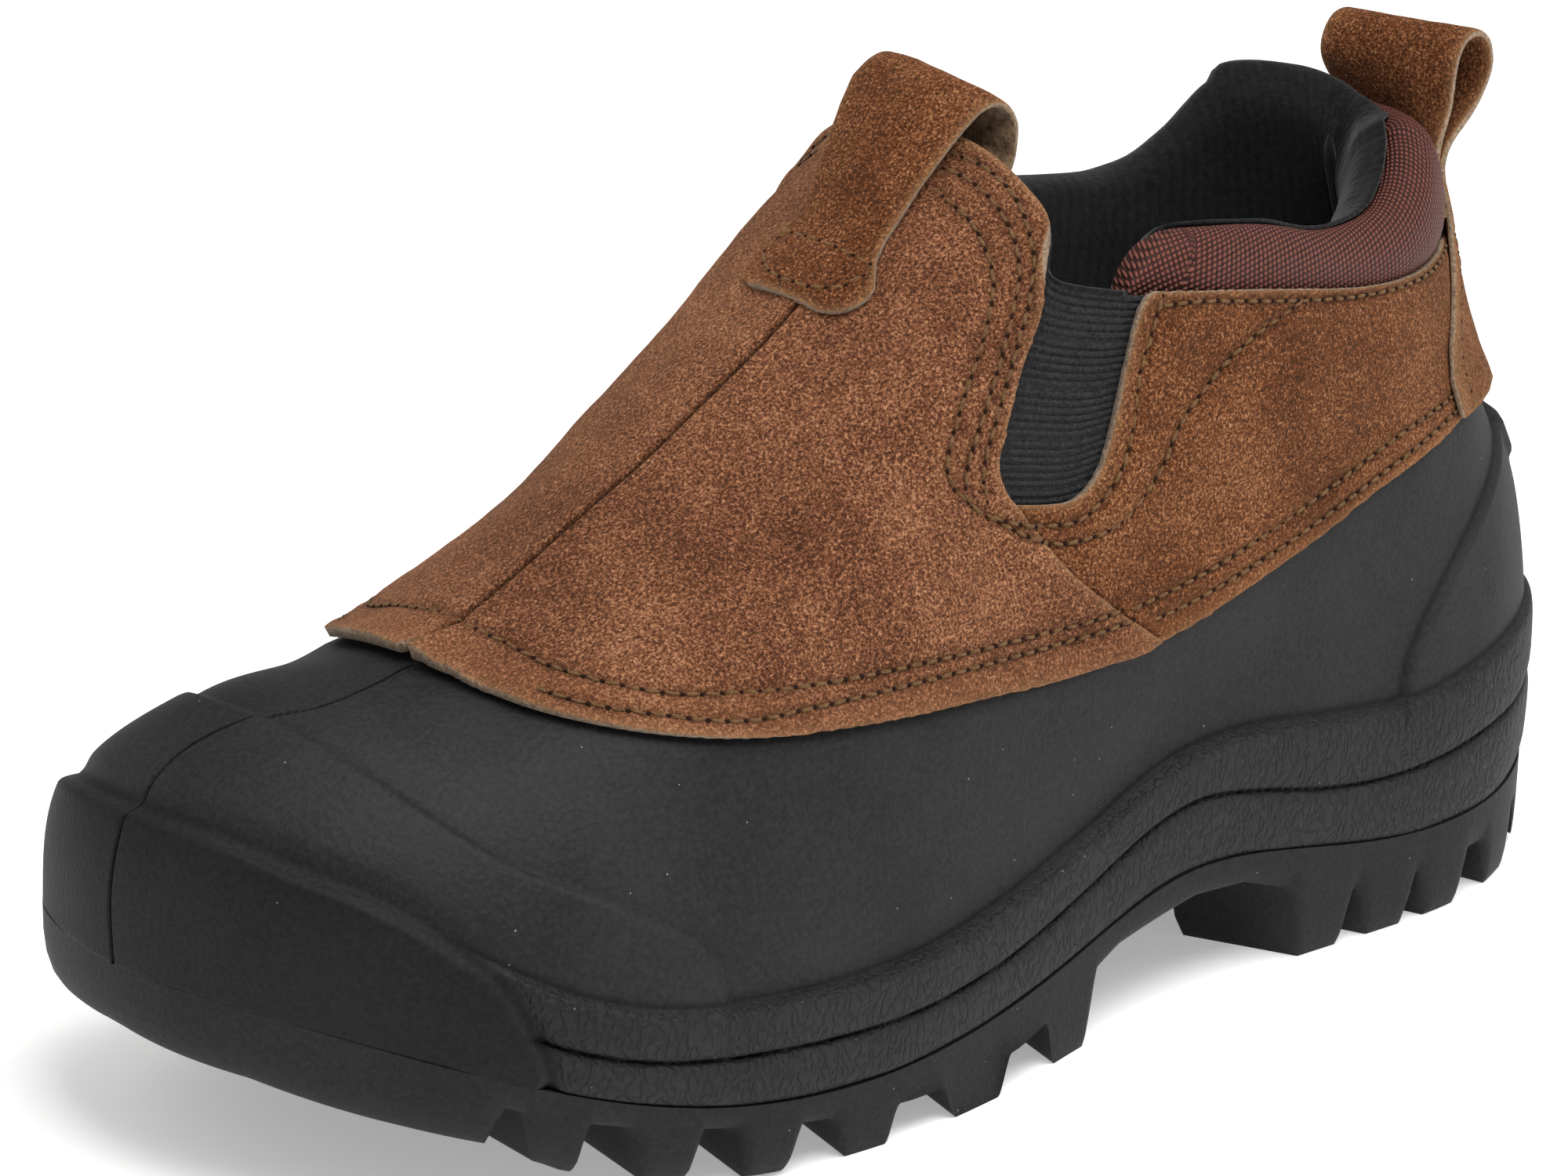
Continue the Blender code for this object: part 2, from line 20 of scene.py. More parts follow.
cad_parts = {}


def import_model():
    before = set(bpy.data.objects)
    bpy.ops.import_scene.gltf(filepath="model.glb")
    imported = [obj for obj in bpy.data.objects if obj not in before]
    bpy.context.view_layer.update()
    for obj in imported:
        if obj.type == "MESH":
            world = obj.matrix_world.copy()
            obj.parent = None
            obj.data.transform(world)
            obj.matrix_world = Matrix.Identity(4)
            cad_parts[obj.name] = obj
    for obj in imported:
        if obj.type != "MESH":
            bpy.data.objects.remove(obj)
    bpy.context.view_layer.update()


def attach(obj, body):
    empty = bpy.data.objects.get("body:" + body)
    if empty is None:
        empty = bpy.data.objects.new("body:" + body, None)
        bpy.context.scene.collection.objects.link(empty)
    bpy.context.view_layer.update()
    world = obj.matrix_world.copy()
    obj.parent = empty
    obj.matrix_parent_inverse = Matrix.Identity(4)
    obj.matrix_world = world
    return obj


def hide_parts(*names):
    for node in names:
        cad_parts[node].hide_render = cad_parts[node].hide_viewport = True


LOG = logging.getLogger("snow_boot")
Array = np.ndarray
Pairs = Sequence[Sequence[float]]
Faces = list[tuple[int, ...]]
Socket = bpy.types.NodeSocket
Piece = bpy.types.Object
Material = bpy.types.Material
Span = tuple[float, float]
Triple = tuple[float, float, float]

MM = 0.001
PLACE = np.array((3.787, -3.0663, 0.0))  # from the last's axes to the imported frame
BODY = "root"
SEED = 7
DENSE = 400  # points on a smooth line
WAVES = 7  # waves summed for soft noise
WAVE_SIZES = (0.7, 1.5)  # their least and largest share of the asked size
SNAP = 0.08  # mm within which a grid point counts as on a cut

# Girth lines of the last, a row for each station from the toe to the heel back
# columns: x, y on the lateral side, y on the medial side, z, drop of z on the medial side
SOLE_LINE = (
    (146.0, -11.0, -11.0, 37.0, 0.0), (139.0, 16.0, -38.5, 36.0, 0.0), (124.0, 37.0, -47.0, 31.5, 0.0),
    (99.0, 51.5, -50.5, 22.5, 0.0), (66.0, 57.2, -49.5, 14.8, 0.0), (30.0, 54.8, -43.0, 13.2, 0.0),
    (-8.0, 46.6, -37.0, 18.0, 0.0), (-45.0, 40.2, -35.5, 25.0, 0.0), (-90.0, 38.4, -36.5, 19.0, 0.0),
    (-130.0, 30.6, -28.8, 19.0, 0.0), (-153.5, 0.0, 0.0, 21.0, 0.0))
BAND_TOP = (
    (142.5, -10.0, -10.0, 62.0, 0.0), (135.5, 16.5, -36.5, 61.5, 3.5), (122.0, 36.5, -46.0, 53.0, 2.0),
    (99.0, 51.0, -50.5, 39.0, 0.0), (66.0, 56.4, -49.5, 32.5, 0.0), (30.0, 53.6, -43.0, 34.0, 0.0),
    (-10.0, 45.4, -37.0, 41.5, 0.0), (-47.0, 40.0, -35.5, 46.6, 0.0), (-90.0, 38.2, -36.5, 44.3, 0.0),
    (-130.5, 30.2, -28.6, 47.8, 0.0), (-154.5, 0.0, 0.0, 50.0, 0.0))
SHOULDER = (
    (121.5, -6.0, -6.0, 74.6, 0.0), (116.5, 18.5, -28.5, 72.6, 1.2), (105.0, 38.0, -42.5, 63.0, 2.0),
    (84.0, 49.0, -48.0, 55.0, 1.5), (52.0, 52.5, -46.5, 52.0, 0.0), (20.0, 49.8, -41.0, 52.0, 0.0),
    (-18.0, 43.8, -36.5, 55.0, 0.0), (-52.0, 39.0, -35.2, 59.0, 0.0), (-90.0, 36.2, -34.5, 64.0, 0.0),
    (-128.0, 27.2, -26.0, 67.5, 0.0), (-152.5, 0.0, 0.0, 70.0, 0.0))
HEM = (
    (95.0, -3.0, -3.0, 80.2, 0.0), (92.5, 17.0, -23.0, 79.0, 2.8), (86.0, 31.0, -34.5, 77.2, 4.6),
    (69.0, 43.0, -42.0, 74.0, 3.2), (40.0, 47.5, -42.0, 71.0, 1.2), (10.0, 46.0, -38.4, 69.4, 0.0),
    (-22.0, 42.6, -36.0, 68.7, 0.0), (-55.0, 38.6, -34.8, 73.6, 0.0), (-90.0, 34.4, -32.8, 82.8, 0.0),
    (-123.5, 24.2, -23.0, 86.2, 0.0), (-145.5, 0.0, 0.0, 86.0, 0.0))
WAIST = (
    (48.0, -1.5, -1.5, 108.4, 0.0), (45.5, 15.0, -17.0, 106.2, 2.0), (38.0, 28.6, -28.0, 102.4, 3.0),
    (25.0, 35.4, -32.5, 100.6, 2.0), (7.0, 38.0, -34.2, 100.6, 0.0), (-8.5, 39.2, -34.6, 98.4, 0.0),
    (-22.0, 39.6, -34.8, 99.2, 0.0), (-56.0, 37.6, -34.4, 100.4, 0.0), (-88.0, 33.4, -31.8, 102.0, 0.0),
    (-117.0, 22.6, -21.8, 103.0, 0.0), (-137.0, 0.0, 0.0, 103.0, 0.0))
TOPLINE = (
    (-14.0, 0.0, 0.0, 153.4, 0.0), (-15.8, 12.0, -14.5, 151.6, -0.4), (-16.9, 22.0, -26.5, 147.0, -0.8),
    (-16.6, 28.5, -33.0, 141.6, -0.8), (-13.4, 33.0, -36.2, 136.0, 0.0), (-23.5, 35.0, -36.4, 132.4, 0.0),
    (-34.0, 35.8, -36.0, 130.2, 0.0), (-60.0, 36.0, -34.8, 126.4, 0.0), (-88.0, 32.0, -30.8, 121.2, 0.0),
    (-113.5, 22.0, -21.4, 119.6, 0.0), (-130.5, 0.0, 0.0, 120.0, 0.0))
HALF = len(SOLE_LINE) - 1
ROUND = 2 * HALF
AT_SOLE, AT_HEM, AT_TOP = 0, 3, 5


class Side(Enum):
    """Side of the foot that a paired piece belongs to."""

    LATERAL = "lateral"
    MEDIAL = "medial"

    def station(self, h: Array) -> Array:
        """Stations round the boot of stations counted from the toe on this side."""
        return np.asarray(h, float) if self is Side.LATERAL else ROUND - np.asarray(h, float)


def paired(u: Array | float, level: Array | float) -> list[Array]:
    """Stations and levels as two arrays of one length."""
    return np.broadcast_arrays(*[np.atleast_1d(np.asarray(value, float)) for value in (u, level)])


@dataclass
class BootLast:
    """The last: girth lines joined by smooth curves round the boot and up each column."""

    girths: Sequence[Pairs]
    rings: Array = field(init=False)
    knots: Array = field(init=False)
    moments: Array = field(init=False)

    def __post_init__(self) -> None:
        """Solve the closed cubics once."""
        self.rings = np.stack([self._ring(rows) for rows in self.girths])
        steps = np.linalg.norm(np.roll(self.rings, -1, axis=1) - self.rings, axis=2).mean(axis=0)
        half = 0.5 * (steps[:HALF] + steps[HALF:][::-1])
        self.knots = np.concatenate([[0.0], np.cumsum(np.concatenate([half, half[::-1]]))])
        self.moments = np.stack([self._moments(ring) for ring in self.rings])

    @staticmethod
    def _ring(rows: Pairs) -> Array:
        """One girth line as a closed ring: toe, lateral side, heel, medial side."""
        table = np.array(rows, float)
        medial = table[-2:0:-1, [0, 2, 3]]
        medial[:, 2] -= table[-2:0:-1, 4]
        return np.vstack([table[:, [0, 1, 3]], medial])

    def _moments(self, values: Array) -> Array:
        """Second derivatives of the closed cubic through a ring's points."""
        h = np.diff(self.knots)
        matrix = np.zeros((ROUND, ROUND))
        right = np.zeros_like(values)
        for k in range(ROUND):
            after = (k + 1) % ROUND
            matrix[k, k - 1] += h[k - 1]
            matrix[k, k] += 2 * (h[k - 1] + h[k])
            matrix[k, after] += h[k]
            right[k] = 6 * ((values[after] - values[k]) / h[k] - (values[k] - values[k - 1]) / h[k - 1])
        return np.linalg.solve(matrix, right)

    def surface(self, u: Array, level: Array) -> Array:
        """Points of the last.

        Args:
            u: Stations round the boot.
            level: Levels from 0 at the sole line to 5 at the topline.

        Returns:
            One point a row, in mm.
        """
        u, level = paired(u, level)
        u = u % ROUND
        k = np.minimum(u.astype(int), ROUND - 1)
        after = (k + 1) % ROUND
        h = (self.knots[k + 1] - self.knots[k])[:, None]
        b = (u - k)[:, None]
        a = 1 - b
        bend = (a ** 3 - a) * self.moments[:, k] + (b ** 3 - b) * self.moments[:, after]
        points = a * self.rings[:, k] + b * self.rings[:, after] + bend * h ** 2 / 6
        chord = np.linalg.norm(np.diff(points, axis=0), axis=2) ** 0.5 + 1e-6
        slope = np.diff(points, axis=0) / chord[..., None]
        wide = chord[:-1] + chord[1:]
        tangent = np.empty_like(points)
        before, after_it = (chord[1:] / wide)[..., None], (chord[:-1] / wide)[..., None]
        tangent[1:-1] = slope[:-1] * before + slope[1:] * after_it
        tangent[0] = 1.5 * slope[0] - 0.5 * tangent[1]
        tangent[-1] = 1.5 * slope[-1] - 0.5 * tangent[-2]
        i = np.clip(level.astype(int), 0, len(self.girths) - 2)
        t = (level - i)[:, None]
        c = np.arange(len(u))
        rise = chord[i, c][:, None]
        leave, arrive = t ** 3 - 2 * t ** 2 + t, t ** 3 - t ** 2
        start = (2 * t ** 3 - 3 * t ** 2 + 1) * points[i, c] + leave * rise * tangent[i, c]
        end = (3 * t ** 2 - 2 * t ** 3) * points[i + 1, c] + arrive * rise * tangent[i + 1, c]
        return start + end

    def normals(self, u: Array, level: Array) -> Array:
        """Unit normals of the last, facing out."""
        small = 2e-3
        u, level = paired(u, level)
        along = self.surface(u + small, level) - self.surface(u - small, level)
        above, below = np.minimum(level + small, AT_TOP), np.maximum(level - small, AT_SOLE)
        up = self.surface(u, above) - self.surface(u, below)
        n = np.cross(along, up)
        return n / np.maximum(np.linalg.norm(n, axis=1, keepdims=True), 1e-12)

    def skin(self, u: Array, level: Array, out: Array | float) -> Array:
        """Points of the last pushed out by out (mm)."""
        points = self.surface(u, level)
        return points + self.normals(u, level) * np.broadcast_to(np.asarray(out, float), len(points))[:, None]


LAST = BootLast((SOLE_LINE, BAND_TOP, SHOULDER, HEM, WAIST, TOPLINE))


def from_toe(u: Array) -> Array:
    """Stations counted from the toe, the same on both sides."""
    u = np.asarray(u, float) % ROUND
    return np.where(u <= HALF, u, ROUND - u)


def across_toe(u: Array) -> Array:
    """Stations counted from the toe, negative on the medial side."""
    u = np.asarray(u, float) % ROUND
    return np.where(u > HALF, u - ROUND, u)


def ease(value: Array, low: float, high: float) -> Array:
    """Smooth ramp from 0 at low to 1 at high."""
    t = np.clip((np.asarray(value, float) - low) / (high - low), 0.0, 1.0)
    return t * t * (3 - 2 * t)


def bell(gap: Array, width: float) -> Array:
    """Smooth hump over a distance: 1 at its middle, almost 0 beyond two widths."""
    return np.exp(-(gap / width) ** 2)


def run_lengths(points: Array, least: float = 0.0) -> Array:
    """Length along a chain up to each of its points, with a least length for every step."""
    steps = np.linalg.norm(np.diff(points, axis=0), axis=1) + least
    return np.concatenate([[0.0], np.cumsum(steps)])


def by_station(table: Pairs) -> Callable[[Array], Array]:
    """A function of the station from a table of two columns."""
    places, values = np.array(table, float).T

    def at(h: Array) -> Array:
        """Value at each station."""
        return np.interp(h, places, values)

    return at


def smooth_by_station(table: Pairs) -> Callable[[Array], Array]:
    """A function of the station from the smooth curve through a table of two columns."""
    return by_station(curve_through(table, DENSE))


def curve_through(points: Pairs, count: int) -> Array:
    """A smooth open curve through control points.

    Args:
        points: Control points, one a row.
        count: How many points to return.

    Returns:
        Points spaced evenly by the control points' own spacing.
    """
    p = np.array(points, float)
    if len(p) == 2:
        return p[0] + (p[1] - p[0]) * np.linspace(0, 1, count)[:, None]
    chord = np.linalg.norm(np.diff(p, axis=0), axis=1) + 1e-9
    knots = np.concatenate([[0.0], np.cumsum(chord)])
    slope = np.diff(p, axis=0) / chord[:, None]
    tangent = np.vstack([slope[:1], 0.5 * (slope[:-1] + slope[1:]), slope[-1:]])
    at = np.linspace(0, knots[-1], count)
    i = np.clip(np.searchsorted(knots, at, side="right") - 1, 0, len(p) - 2)
    h = chord[i][:, None]
    t = ((at - knots[i]) / chord[i])[:, None]
    start = (2 * t ** 3 - 3 * t ** 2 + 1) * p[i] + (t ** 3 - 2 * t ** 2 + t) * h * tangent[i]
    return start + (3 * t ** 2 - 2 * t ** 3) * p[i + 1] + (t ** 3 - t ** 2) * h * tangent[i + 1]


def distance_to(points: Array, path: Array) -> Array:
    """Distance from each point to the nearest point of a dense path."""
    tree = KDTree(len(path))
    for k, p in enumerate(path):
        tree.insert(p, k)
    tree.balance()
    return np.array([tree.find(p)[2] for p in points])


def inside(outline: Array, u: Array, level: Array) -> Array:
    """Which points of the (u, level) plane lie inside a closed outline."""
    hit = np.zeros(len(u), bool)
    for (u0, l0), (u1, l1) in zip(outline, np.roll(outline, -1, axis=0)):
        if l0 == l1:
            continue
        crossed = (l0 > level) != (l1 > level)
        hit ^= crossed & (u < (u1 - u0) * (level - l0) / (l1 - l0) + u0)
    return hit


def soft_noise(points: Array, size: float, seed: int) -> Array:
    """Smooth noise between about -1 and 1, from a few fixed waves.

    Args:
        points: Points in mm.
        size: Wave length in mm.
        seed: Picks the waves.

    Returns:
        One value a point.
    """
    rng = np.random.default_rng(seed)
    total = np.zeros(len(points))
    for _ in range(WAVES):
        direction = rng.normal(size=3)
        direction /= np.linalg.norm(direction)
        wave = size * rng.uniform(*WAVE_SIZES)
        total += np.sin(points @ direction * 2 * math.pi / wave + rng.uniform(0, 2 * math.pi))
    return total / (0.5 * WAVES)


def in_scene(name: str, data: bpy.types.ID) -> Piece:
    """A new object at the origin, linked to the scene."""
    made = bpy.data.objects.new(name, data)
    bpy.context.scene.collection.objects.link(made)
    return made


@dataclass
class MeshData:
    """A mesh in the making: points in mm, faces, the material of each face and values on points."""

    points: Array
    faces: Faces
    marks: list[int] | None = None
    values: dict[str, Array] = field(default_factory=dict)
    uv: Array | None = None

    def to_object(self, name: str, materials: Sequence[Material]) -> Piece:
        """Make the object at the origin, shaded smooth, with its place in its mesh.

        Args:
            name: The piece's name.
            materials: Materials in the order of marks.

        Returns:
            The new object.
        """
        mesh = bpy.data.meshes.new(name)
        mesh.from_pydata(((self.points + PLACE) * MM).tolist(), [], self.faces)
        for material in materials:
            mesh.materials.append(material)
        if self.marks is not None:
            mesh.polygons.foreach_set("material_index", np.array(self.marks, np.int32))
        mesh.polygons.foreach_set("use_smooth", np.full(len(mesh.polygons), True))
        for key, value in self.values.items():
            layer = mesh.attributes.new(key, "FLOAT", "POINT")
            layer.data.foreach_set("value", np.asarray(value, np.float32))
        if self.uv is not None:
            corner = np.zeros(len(mesh.loops), np.int32)
            mesh.loops.foreach_get("vertex_index", corner)
            layer = mesh.uv_layers.new(name="UVMap")
            layer.data.foreach_set("uv", self.uv[corner].astype(np.float32).ravel())
        mesh.update()
        return in_scene(name, mesh)


def grid_quads(rows: int, cols: int, closed: bool = False) -> Faces:
    """Quads of a grid stored row by row, closed round its columns if asked."""
    faces = []
    for r in range(rows - 1):
        for c in range(cols if closed else cols - 1):
            n = (c + 1) % cols
            faces.append((r * cols + c, r * cols + n, (r + 1) * cols + n, (r + 1) * cols + c))
    return faces


def two_sided(faces: Faces, count: int) -> tuple[Faces, list[int]]:
    """Give a sheet a back and a rim.

    Args:
        faces: Faces of the outer sheet.
        count: Points of the outer sheet; those of the back follow them in the same order.

    Returns:
        Outer faces, back and rim, and their marks: 0 outside, 2 at the back, 1 on the rim.
    """
    back = [tuple(k + count for k in f[::-1]) for f in faces]
    edges = {(f[k], f[(k + 1) % len(f)]) for f in faces for k in range(len(f))}
    rim = [(b, a, a + count, b + count) for a, b in edges if (b, a) not in edges]
    return faces + back + rim, [0] * len(faces) + [2] * len(back) + [1] * len(rim)


def clip_grid(us: Array, levels: Array, height: Array) -> tuple[Array, Array, Faces]:
    """Cut a grid of the (u, level) plane along the zero line of a field.

    Args:
        us: Stations of the columns.
        levels: Levels of the rows.
        height: Field on the grid, row by row, positive inside.

    Returns:
        Stations and levels of the points left, and their faces.
    """
    cols = len(us)
    uu, ll = (g.ravel() for g in np.meshgrid(us, levels))
    f = np.where(np.abs(height) < SNAP, 1e-6, height)
    kept = np.flatnonzero(f > 0)
    index = np.full(len(f), -1)
    index[kept] = np.arange(len(kept))
    new_u, new_l = list(uu[kept]), list(ll[kept])
    cut: dict[tuple[int, int], int] = {}
    faces: Faces = []
    for cell in grid_quads(len(levels), cols):
        state = [f[k] > 0 for k in cell]
        if all(state):
            faces.append(tuple(int(index[k]) for k in cell))
            continue
        if not any(state):
            continue
        ring = []
        for k in range(4):
            a, b = cell[k], cell[(k + 1) % 4]
            if state[k]:
                ring.append(int(index[a]))
            if state[k] != state[(k + 1) % 4]:
                a, b = (a, b) if state[k] else (b, a)
                if (a, b) not in cut:
                    t = f[a] / (f[a] - f[b])
                    cut[(a, b)] = len(new_u)
                    new_u.append(uu[a] + (uu[b] - uu[a]) * t)
                    new_l.append(ll[a] + (ll[b] - ll[a]) * t)
                ring.append(cut[(a, b)])
        if len(ring) > 2:
            faces.append(tuple(ring))
    return np.array(new_u), np.array(new_l), faces


# Colours and finishes

def linear(code: str) -> tuple[float, float, float, float]:
    """An sRGB hex colour as linear RGBA."""
    channels = [int(code[k:k + 2], 16) / 255 for k in (1, 3, 5)]
    return (*[c / 12.92 if c <= 0.04045 else ((c + 0.055) / 1.055) ** 2.4 for c in channels], 1.0)


def per_mm(size: float) -> float:
    """Texture scale whose pattern repeats about every size mm on Object coordinates in metres."""
    return 1.0 / (size * MM)


def feed(tree: bpy.types.NodeTree, node: bpy.types.Node, inputs: dict) -> None:
    """Give a node its inputs by socket name or number: sockets are linked and values are set."""
    for key, given in inputs.items():
        if isinstance(given, Socket):
            tree.links.new(given, node.inputs[key])
        else:
            node.inputs[key].default_value = given


def add_node(tree: bpy.types.NodeTree, kind: str, inputs: dict | None = None,
             settings: dict | None = None) -> bpy.types.Node:
    """Add one node with its inputs and settings.

    Args:
        tree: The tree that gets the node.
        kind: Blender's type name.
        inputs: Source sockets and values by socket name or number.
        settings: Attributes of the node.

    Returns:
        The new node.
    """
    node = tree.nodes.new(kind)
    for key, value in (settings or {}).items():
        setattr(node, key, value)
    feed(tree, node, inputs or {})
    return node


class Shading:
    """A node material in the making, with short ways to add the nodes that the finishes share."""

    def __init__(self, name: str) -> None:
        """Start from an empty node material."""
        self.material = bpy.data.materials.new(name)
        self.material.use_nodes = True
        self.tree = self.material.node_tree
        self.where = self.add("ShaderNodeTexCoord").outputs["Object"]

    def add(self, kind: str, inputs: dict | None = None, settings: dict | None = None) -> bpy.types.Node:
        """Add any node to this material."""
        return add_node(self.tree, kind, inputs, settings)

    def math(self, operation: str, *inputs: Socket | float) -> Socket:
        """Arithmetic on sockets and numbers, in the order of the node's inputs."""
        return self.add("ShaderNodeMath", dict(enumerate(inputs)), {"operation": operation}).outputs[0]

    def noise(self, size_mm: float, detail: float = 2.0, roughness: float = 0.5, distortion: float = 0.0,
              at: Socket | None = None) -> Socket:
        """Noise with a pattern about size_mm across.

        Args:
            size_mm: Size of the pattern.
            detail: Finer layers on top of it.
            roughness: How strong those layers are.
            distortion: How far the pattern is stirred.
            at: Coordinates, if not the plain Object ones.

        Returns:
            The noise, from 0 to 1.
        """
        return self.add("ShaderNodeTexNoise", {
            "Vector": self.where if at is None else at, "Scale": per_mm(size_mm), "Detail": detail,
            "Roughness": roughness, "Distortion": distortion}).outputs["Fac"]

    def spread(self, value: Socket, low: float, high: float, top: float = 1.0,
               kind: str = "LINEAR") -> Socket:
        """Map a value so that low gives 0 and high gives top."""
        inputs = {"Value": value, "From Min": low, "From Max": high, "To Max": top}
        return self.add("ShaderNodeMapRange", inputs, {"interpolation_type": kind}).outputs[0]

    def ramp(self, value: Socket, stops: Sequence[tuple[float, str]]) -> Socket:
        """Colours for a value, from stops as places and hex colours."""
        node = self.add("ShaderNodeValToRGB", {"Fac": value})
        elements = node.color_ramp.elements
        while len(elements) < len(stops):
            elements.new(1.0)
        for element, (place, code) in zip(elements, stops):
            element.position = place
            element.color = linear(code)
        return node.outputs["Color"]

    def laid_over(self, colour: Socket, share: Socket, code: str) -> Socket:
        """A hex colour laid over another one by a share."""
        inputs = {0: share, 6: colour, 7: linear(code)}
        return self.add("ShaderNodeMix", inputs, {"data_type": "RGBA"}).outputs[2]

    def on_points(self, name: str) -> Socket:
        """A value kept on the mesh's points."""
        return self.add("ShaderNodeAttribute", None, {"attribute_name": name}).outputs["Fac"]

    def uv_axes(self, turn: float = 0.0) -> bpy.types.Node:
        """The UV map in mm, turned by some degrees and split into its axes."""
        uv = self.add("ShaderNodeUVMap", None, {"uv_map": "UVMap"}).outputs[0]
        if turn:
            uv = self.add("ShaderNodeMapping", {0: uv, "Rotation": (0.0, 0.0, math.radians(turn))}).outputs[0]
        return self.add("ShaderNodeSeparateXYZ", {0: uv})

    def wave(self, kind: str, place: Socket, pitch_mm: float) -> Socket:
        """A sine or cosine along a UV axis."""
        return self.math(kind, self.math("MULTIPLY", place, 2 * math.pi / pitch_mm))

    def bump(self, height: Socket, strength: float, depth_mm: float, under: Socket | None = None) -> Socket:
        """A normal bent by a height, on top of another bump if there is one."""
        inputs = {"Height": height, "Strength": strength, "Distance": depth_mm * MM}
        return self.add("ShaderNodeBump", inputs if under is None else {**inputs, "Normal": under}).outputs[0]

    def finished(self, inputs: dict) -> Material:
        """The material, once its shader has these inputs."""
        feed(self.tree, self.tree.nodes["Principled BSDF"], inputs)
        return self.material


@dataclass(frozen=True)
class MouldedRubber:
    """Injection-moulded black rubber: dull satin, with fine grit, a few pale specks and a wrinkled band."""

    name: str = "moulded_rubber"
    dark: str = "#0b0a0b"
    pale: str = "#232224"
    speck: str = "#7d7c7a"
    # colour of painted shade in grooves, along steps, above the bumper's lip and in the wrinkles' valleys
    crease: str = "#0a0a0a"
    roughness: float = 0.58  # at its least; clouds add to it
    cloud_roughness: float = 0.16
    gloss: float = 0.35
    dulling: float = 0.3  # gloss lost in grooves and on matt faces
    grit_mm: float = 0.9  # finer in life; drawn coarse enough to show
    grit_share: float = 1.1
    grit_bump: float = 0.6
    grit_depth_mm: float = 0.26
    cloud_mm: float = 26.0
    tones: Span = (0.8, 1.3)  # grit and clouds that give the darkest and the palest tone
    speck_gap_mm: float = 6.0
    speck_size: float = 0.03
    wrinkle_mm: float = 1.9  # two worms of the moulded grain
    wrinkle_stir: float = 0.3
    wrinkle_scale: Triple = (1.0, 1.0, 0.6)  # worms stand upright
    wrinkle_width: float = 0.11
    wrinkle_depth_mm: float = 0.32
    valley: Triple = (0.7, 0.0, 0.6)  # heights where shade starts and ends, its share

    def material(self) -> Material:
        """Make the material; on points, "band" masks the wrinkles and "line" lays painted shade on grooves,
        steps and the bumper, darkens the whole sole a little and dulls the gloss of all of them.
        """
        made = Shading(self.name)
        grit, cloud = made.noise(self.grit_mm, detail=3.0), made.noise(self.cloud_mm, detail=4.0)
        tone = made.spread(made.math("MULTIPLY_ADD", grit, self.grit_share, cloud), *self.tones)
        colour = made.ramp(tone, ((0.0, self.dark), (1.0, self.pale)))
        specks = made.add("ShaderNodeTexVoronoi", {"Vector": made.where, "Scale": per_mm(self.speck_gap_mm)})
        dot = made.math("LESS_THAN", specks.outputs["Distance"], self.speck_size)
        colour = made.laid_over(colour, dot, self.speck)
        band, line = made.on_points("band"), made.on_points("line")
        upright = made.add("ShaderNodeMapping", {0: made.where, "Scale": self.wrinkle_scale}).outputs[0]
        swirl = made.noise(self.wrinkle_mm, detail=1.0, distortion=self.wrinkle_stir, at=upright)
        fold = made.math("ABSOLUTE", made.math("SUBTRACT", swirl, 0.5))
        wrinkle = made.spread(fold, 0.0, self.wrinkle_width, kind="SMOOTHSTEP")
        worm = made.math("MULTIPLY", made.spread(wrinkle, *self.valley), band)
        coarse = made.bump(made.math("MULTIPLY", wrinkle, band), 1.0, self.wrinkle_depth_mm)
        # painted shade: the colour is darkened where "line" or the wrinkles' valleys ask for it
        return made.finished({
            "Base Color": made.laid_over(colour, made.math("MAXIMUM", line, worm), self.crease),
            "Roughness": made.math("MULTIPLY_ADD", cloud, self.cloud_roughness, self.roughness),
            "Specular IOR Level": made.math("MULTIPLY_ADD", line, -self.dulling, self.gloss),
            "Normal": made.bump(grit, self.grit_bump, self.grit_depth_mm, coarse)})


@dataclass(frozen=True)
class Suede:
    """Split-cowhide suede: brushed nap in mottled browns, no gloss, a soft sheen at grazing angles."""

    name: str = "split_suede"
    # from the roots to the tips of the nap
    browns: tuple[str, ...] = ("#341a0c", "#532d16", "#6f4126", "#925f3d", "#b07f59")
    hem: str = "#835333"
    worn: str = "#b08a63"
    # colour of painted shade along stitch rows and the vamp's seam
    shade: str = "#2a1609"
    sheen: str = "#c9a27c"
    stops: tuple[float, ...] = (0.0, 0.32, 0.57, 0.82, 1.0)
    tones: Span = (0.92, 1.38)  # heights of the nap that give the first and the last brown
    patch_mm: float = 22.0
    patch_share: float = 0.36
    nap_mm: float = 0.56
    fibre_mm: float = 0.36  # finer in life; drawn coarse enough to show
    fibre_share: float = 0.9
    bump_mm: float = 0.5
    bump_strength: float = 0.75
    roughness: float = 0.95
    gloss: float = 0.12
    sheen_weight: float = 0.16
    sheen_roughness: float = 0.5
    shifts: tuple[float, ...] = (0.22, 0.4, 0.55)  # how far hem, worn edge and painted shade go

    def material(self) -> Material:
        """Make the material; point values for the worn edge, for painted shade along stitch rows and the
        seam, and for the hem shift its colour.
        """
        made = Shading(self.name)
        patch = made.noise(self.patch_mm, detail=3.5, roughness=0.7)
        nap = made.noise(self.nap_mm, roughness=0.6, distortion=0.3)
        fibre = made.noise(self.fibre_mm, roughness=0.8)
        fine = made.math("MULTIPLY_ADD", fibre, self.fibre_share, nap)
        tone = made.spread(made.math("MULTIPLY_ADD", patch, self.patch_share, fine), *self.tones)
        colour = made.ramp(tone, tuple(zip(self.stops, self.browns)))
        codes = (self.hem, self.worn, self.shade)
        for value, share, code in zip(("hem", "edge", "sewn_shade"), self.shifts, codes):
            colour = made.laid_over(colour, made.math("MULTIPLY", made.on_points(value), share), code)
        return made.finished({
            "Base Color": colour, "Roughness": self.roughness, "Specular IOR Level": self.gloss,
            "Sheen Weight": self.sheen_weight, "Sheen Roughness": self.sheen_roughness,
            "Sheen Tint": linear(self.sheen), "Normal": made.bump(fine, self.bump_strength, self.bump_mm)})


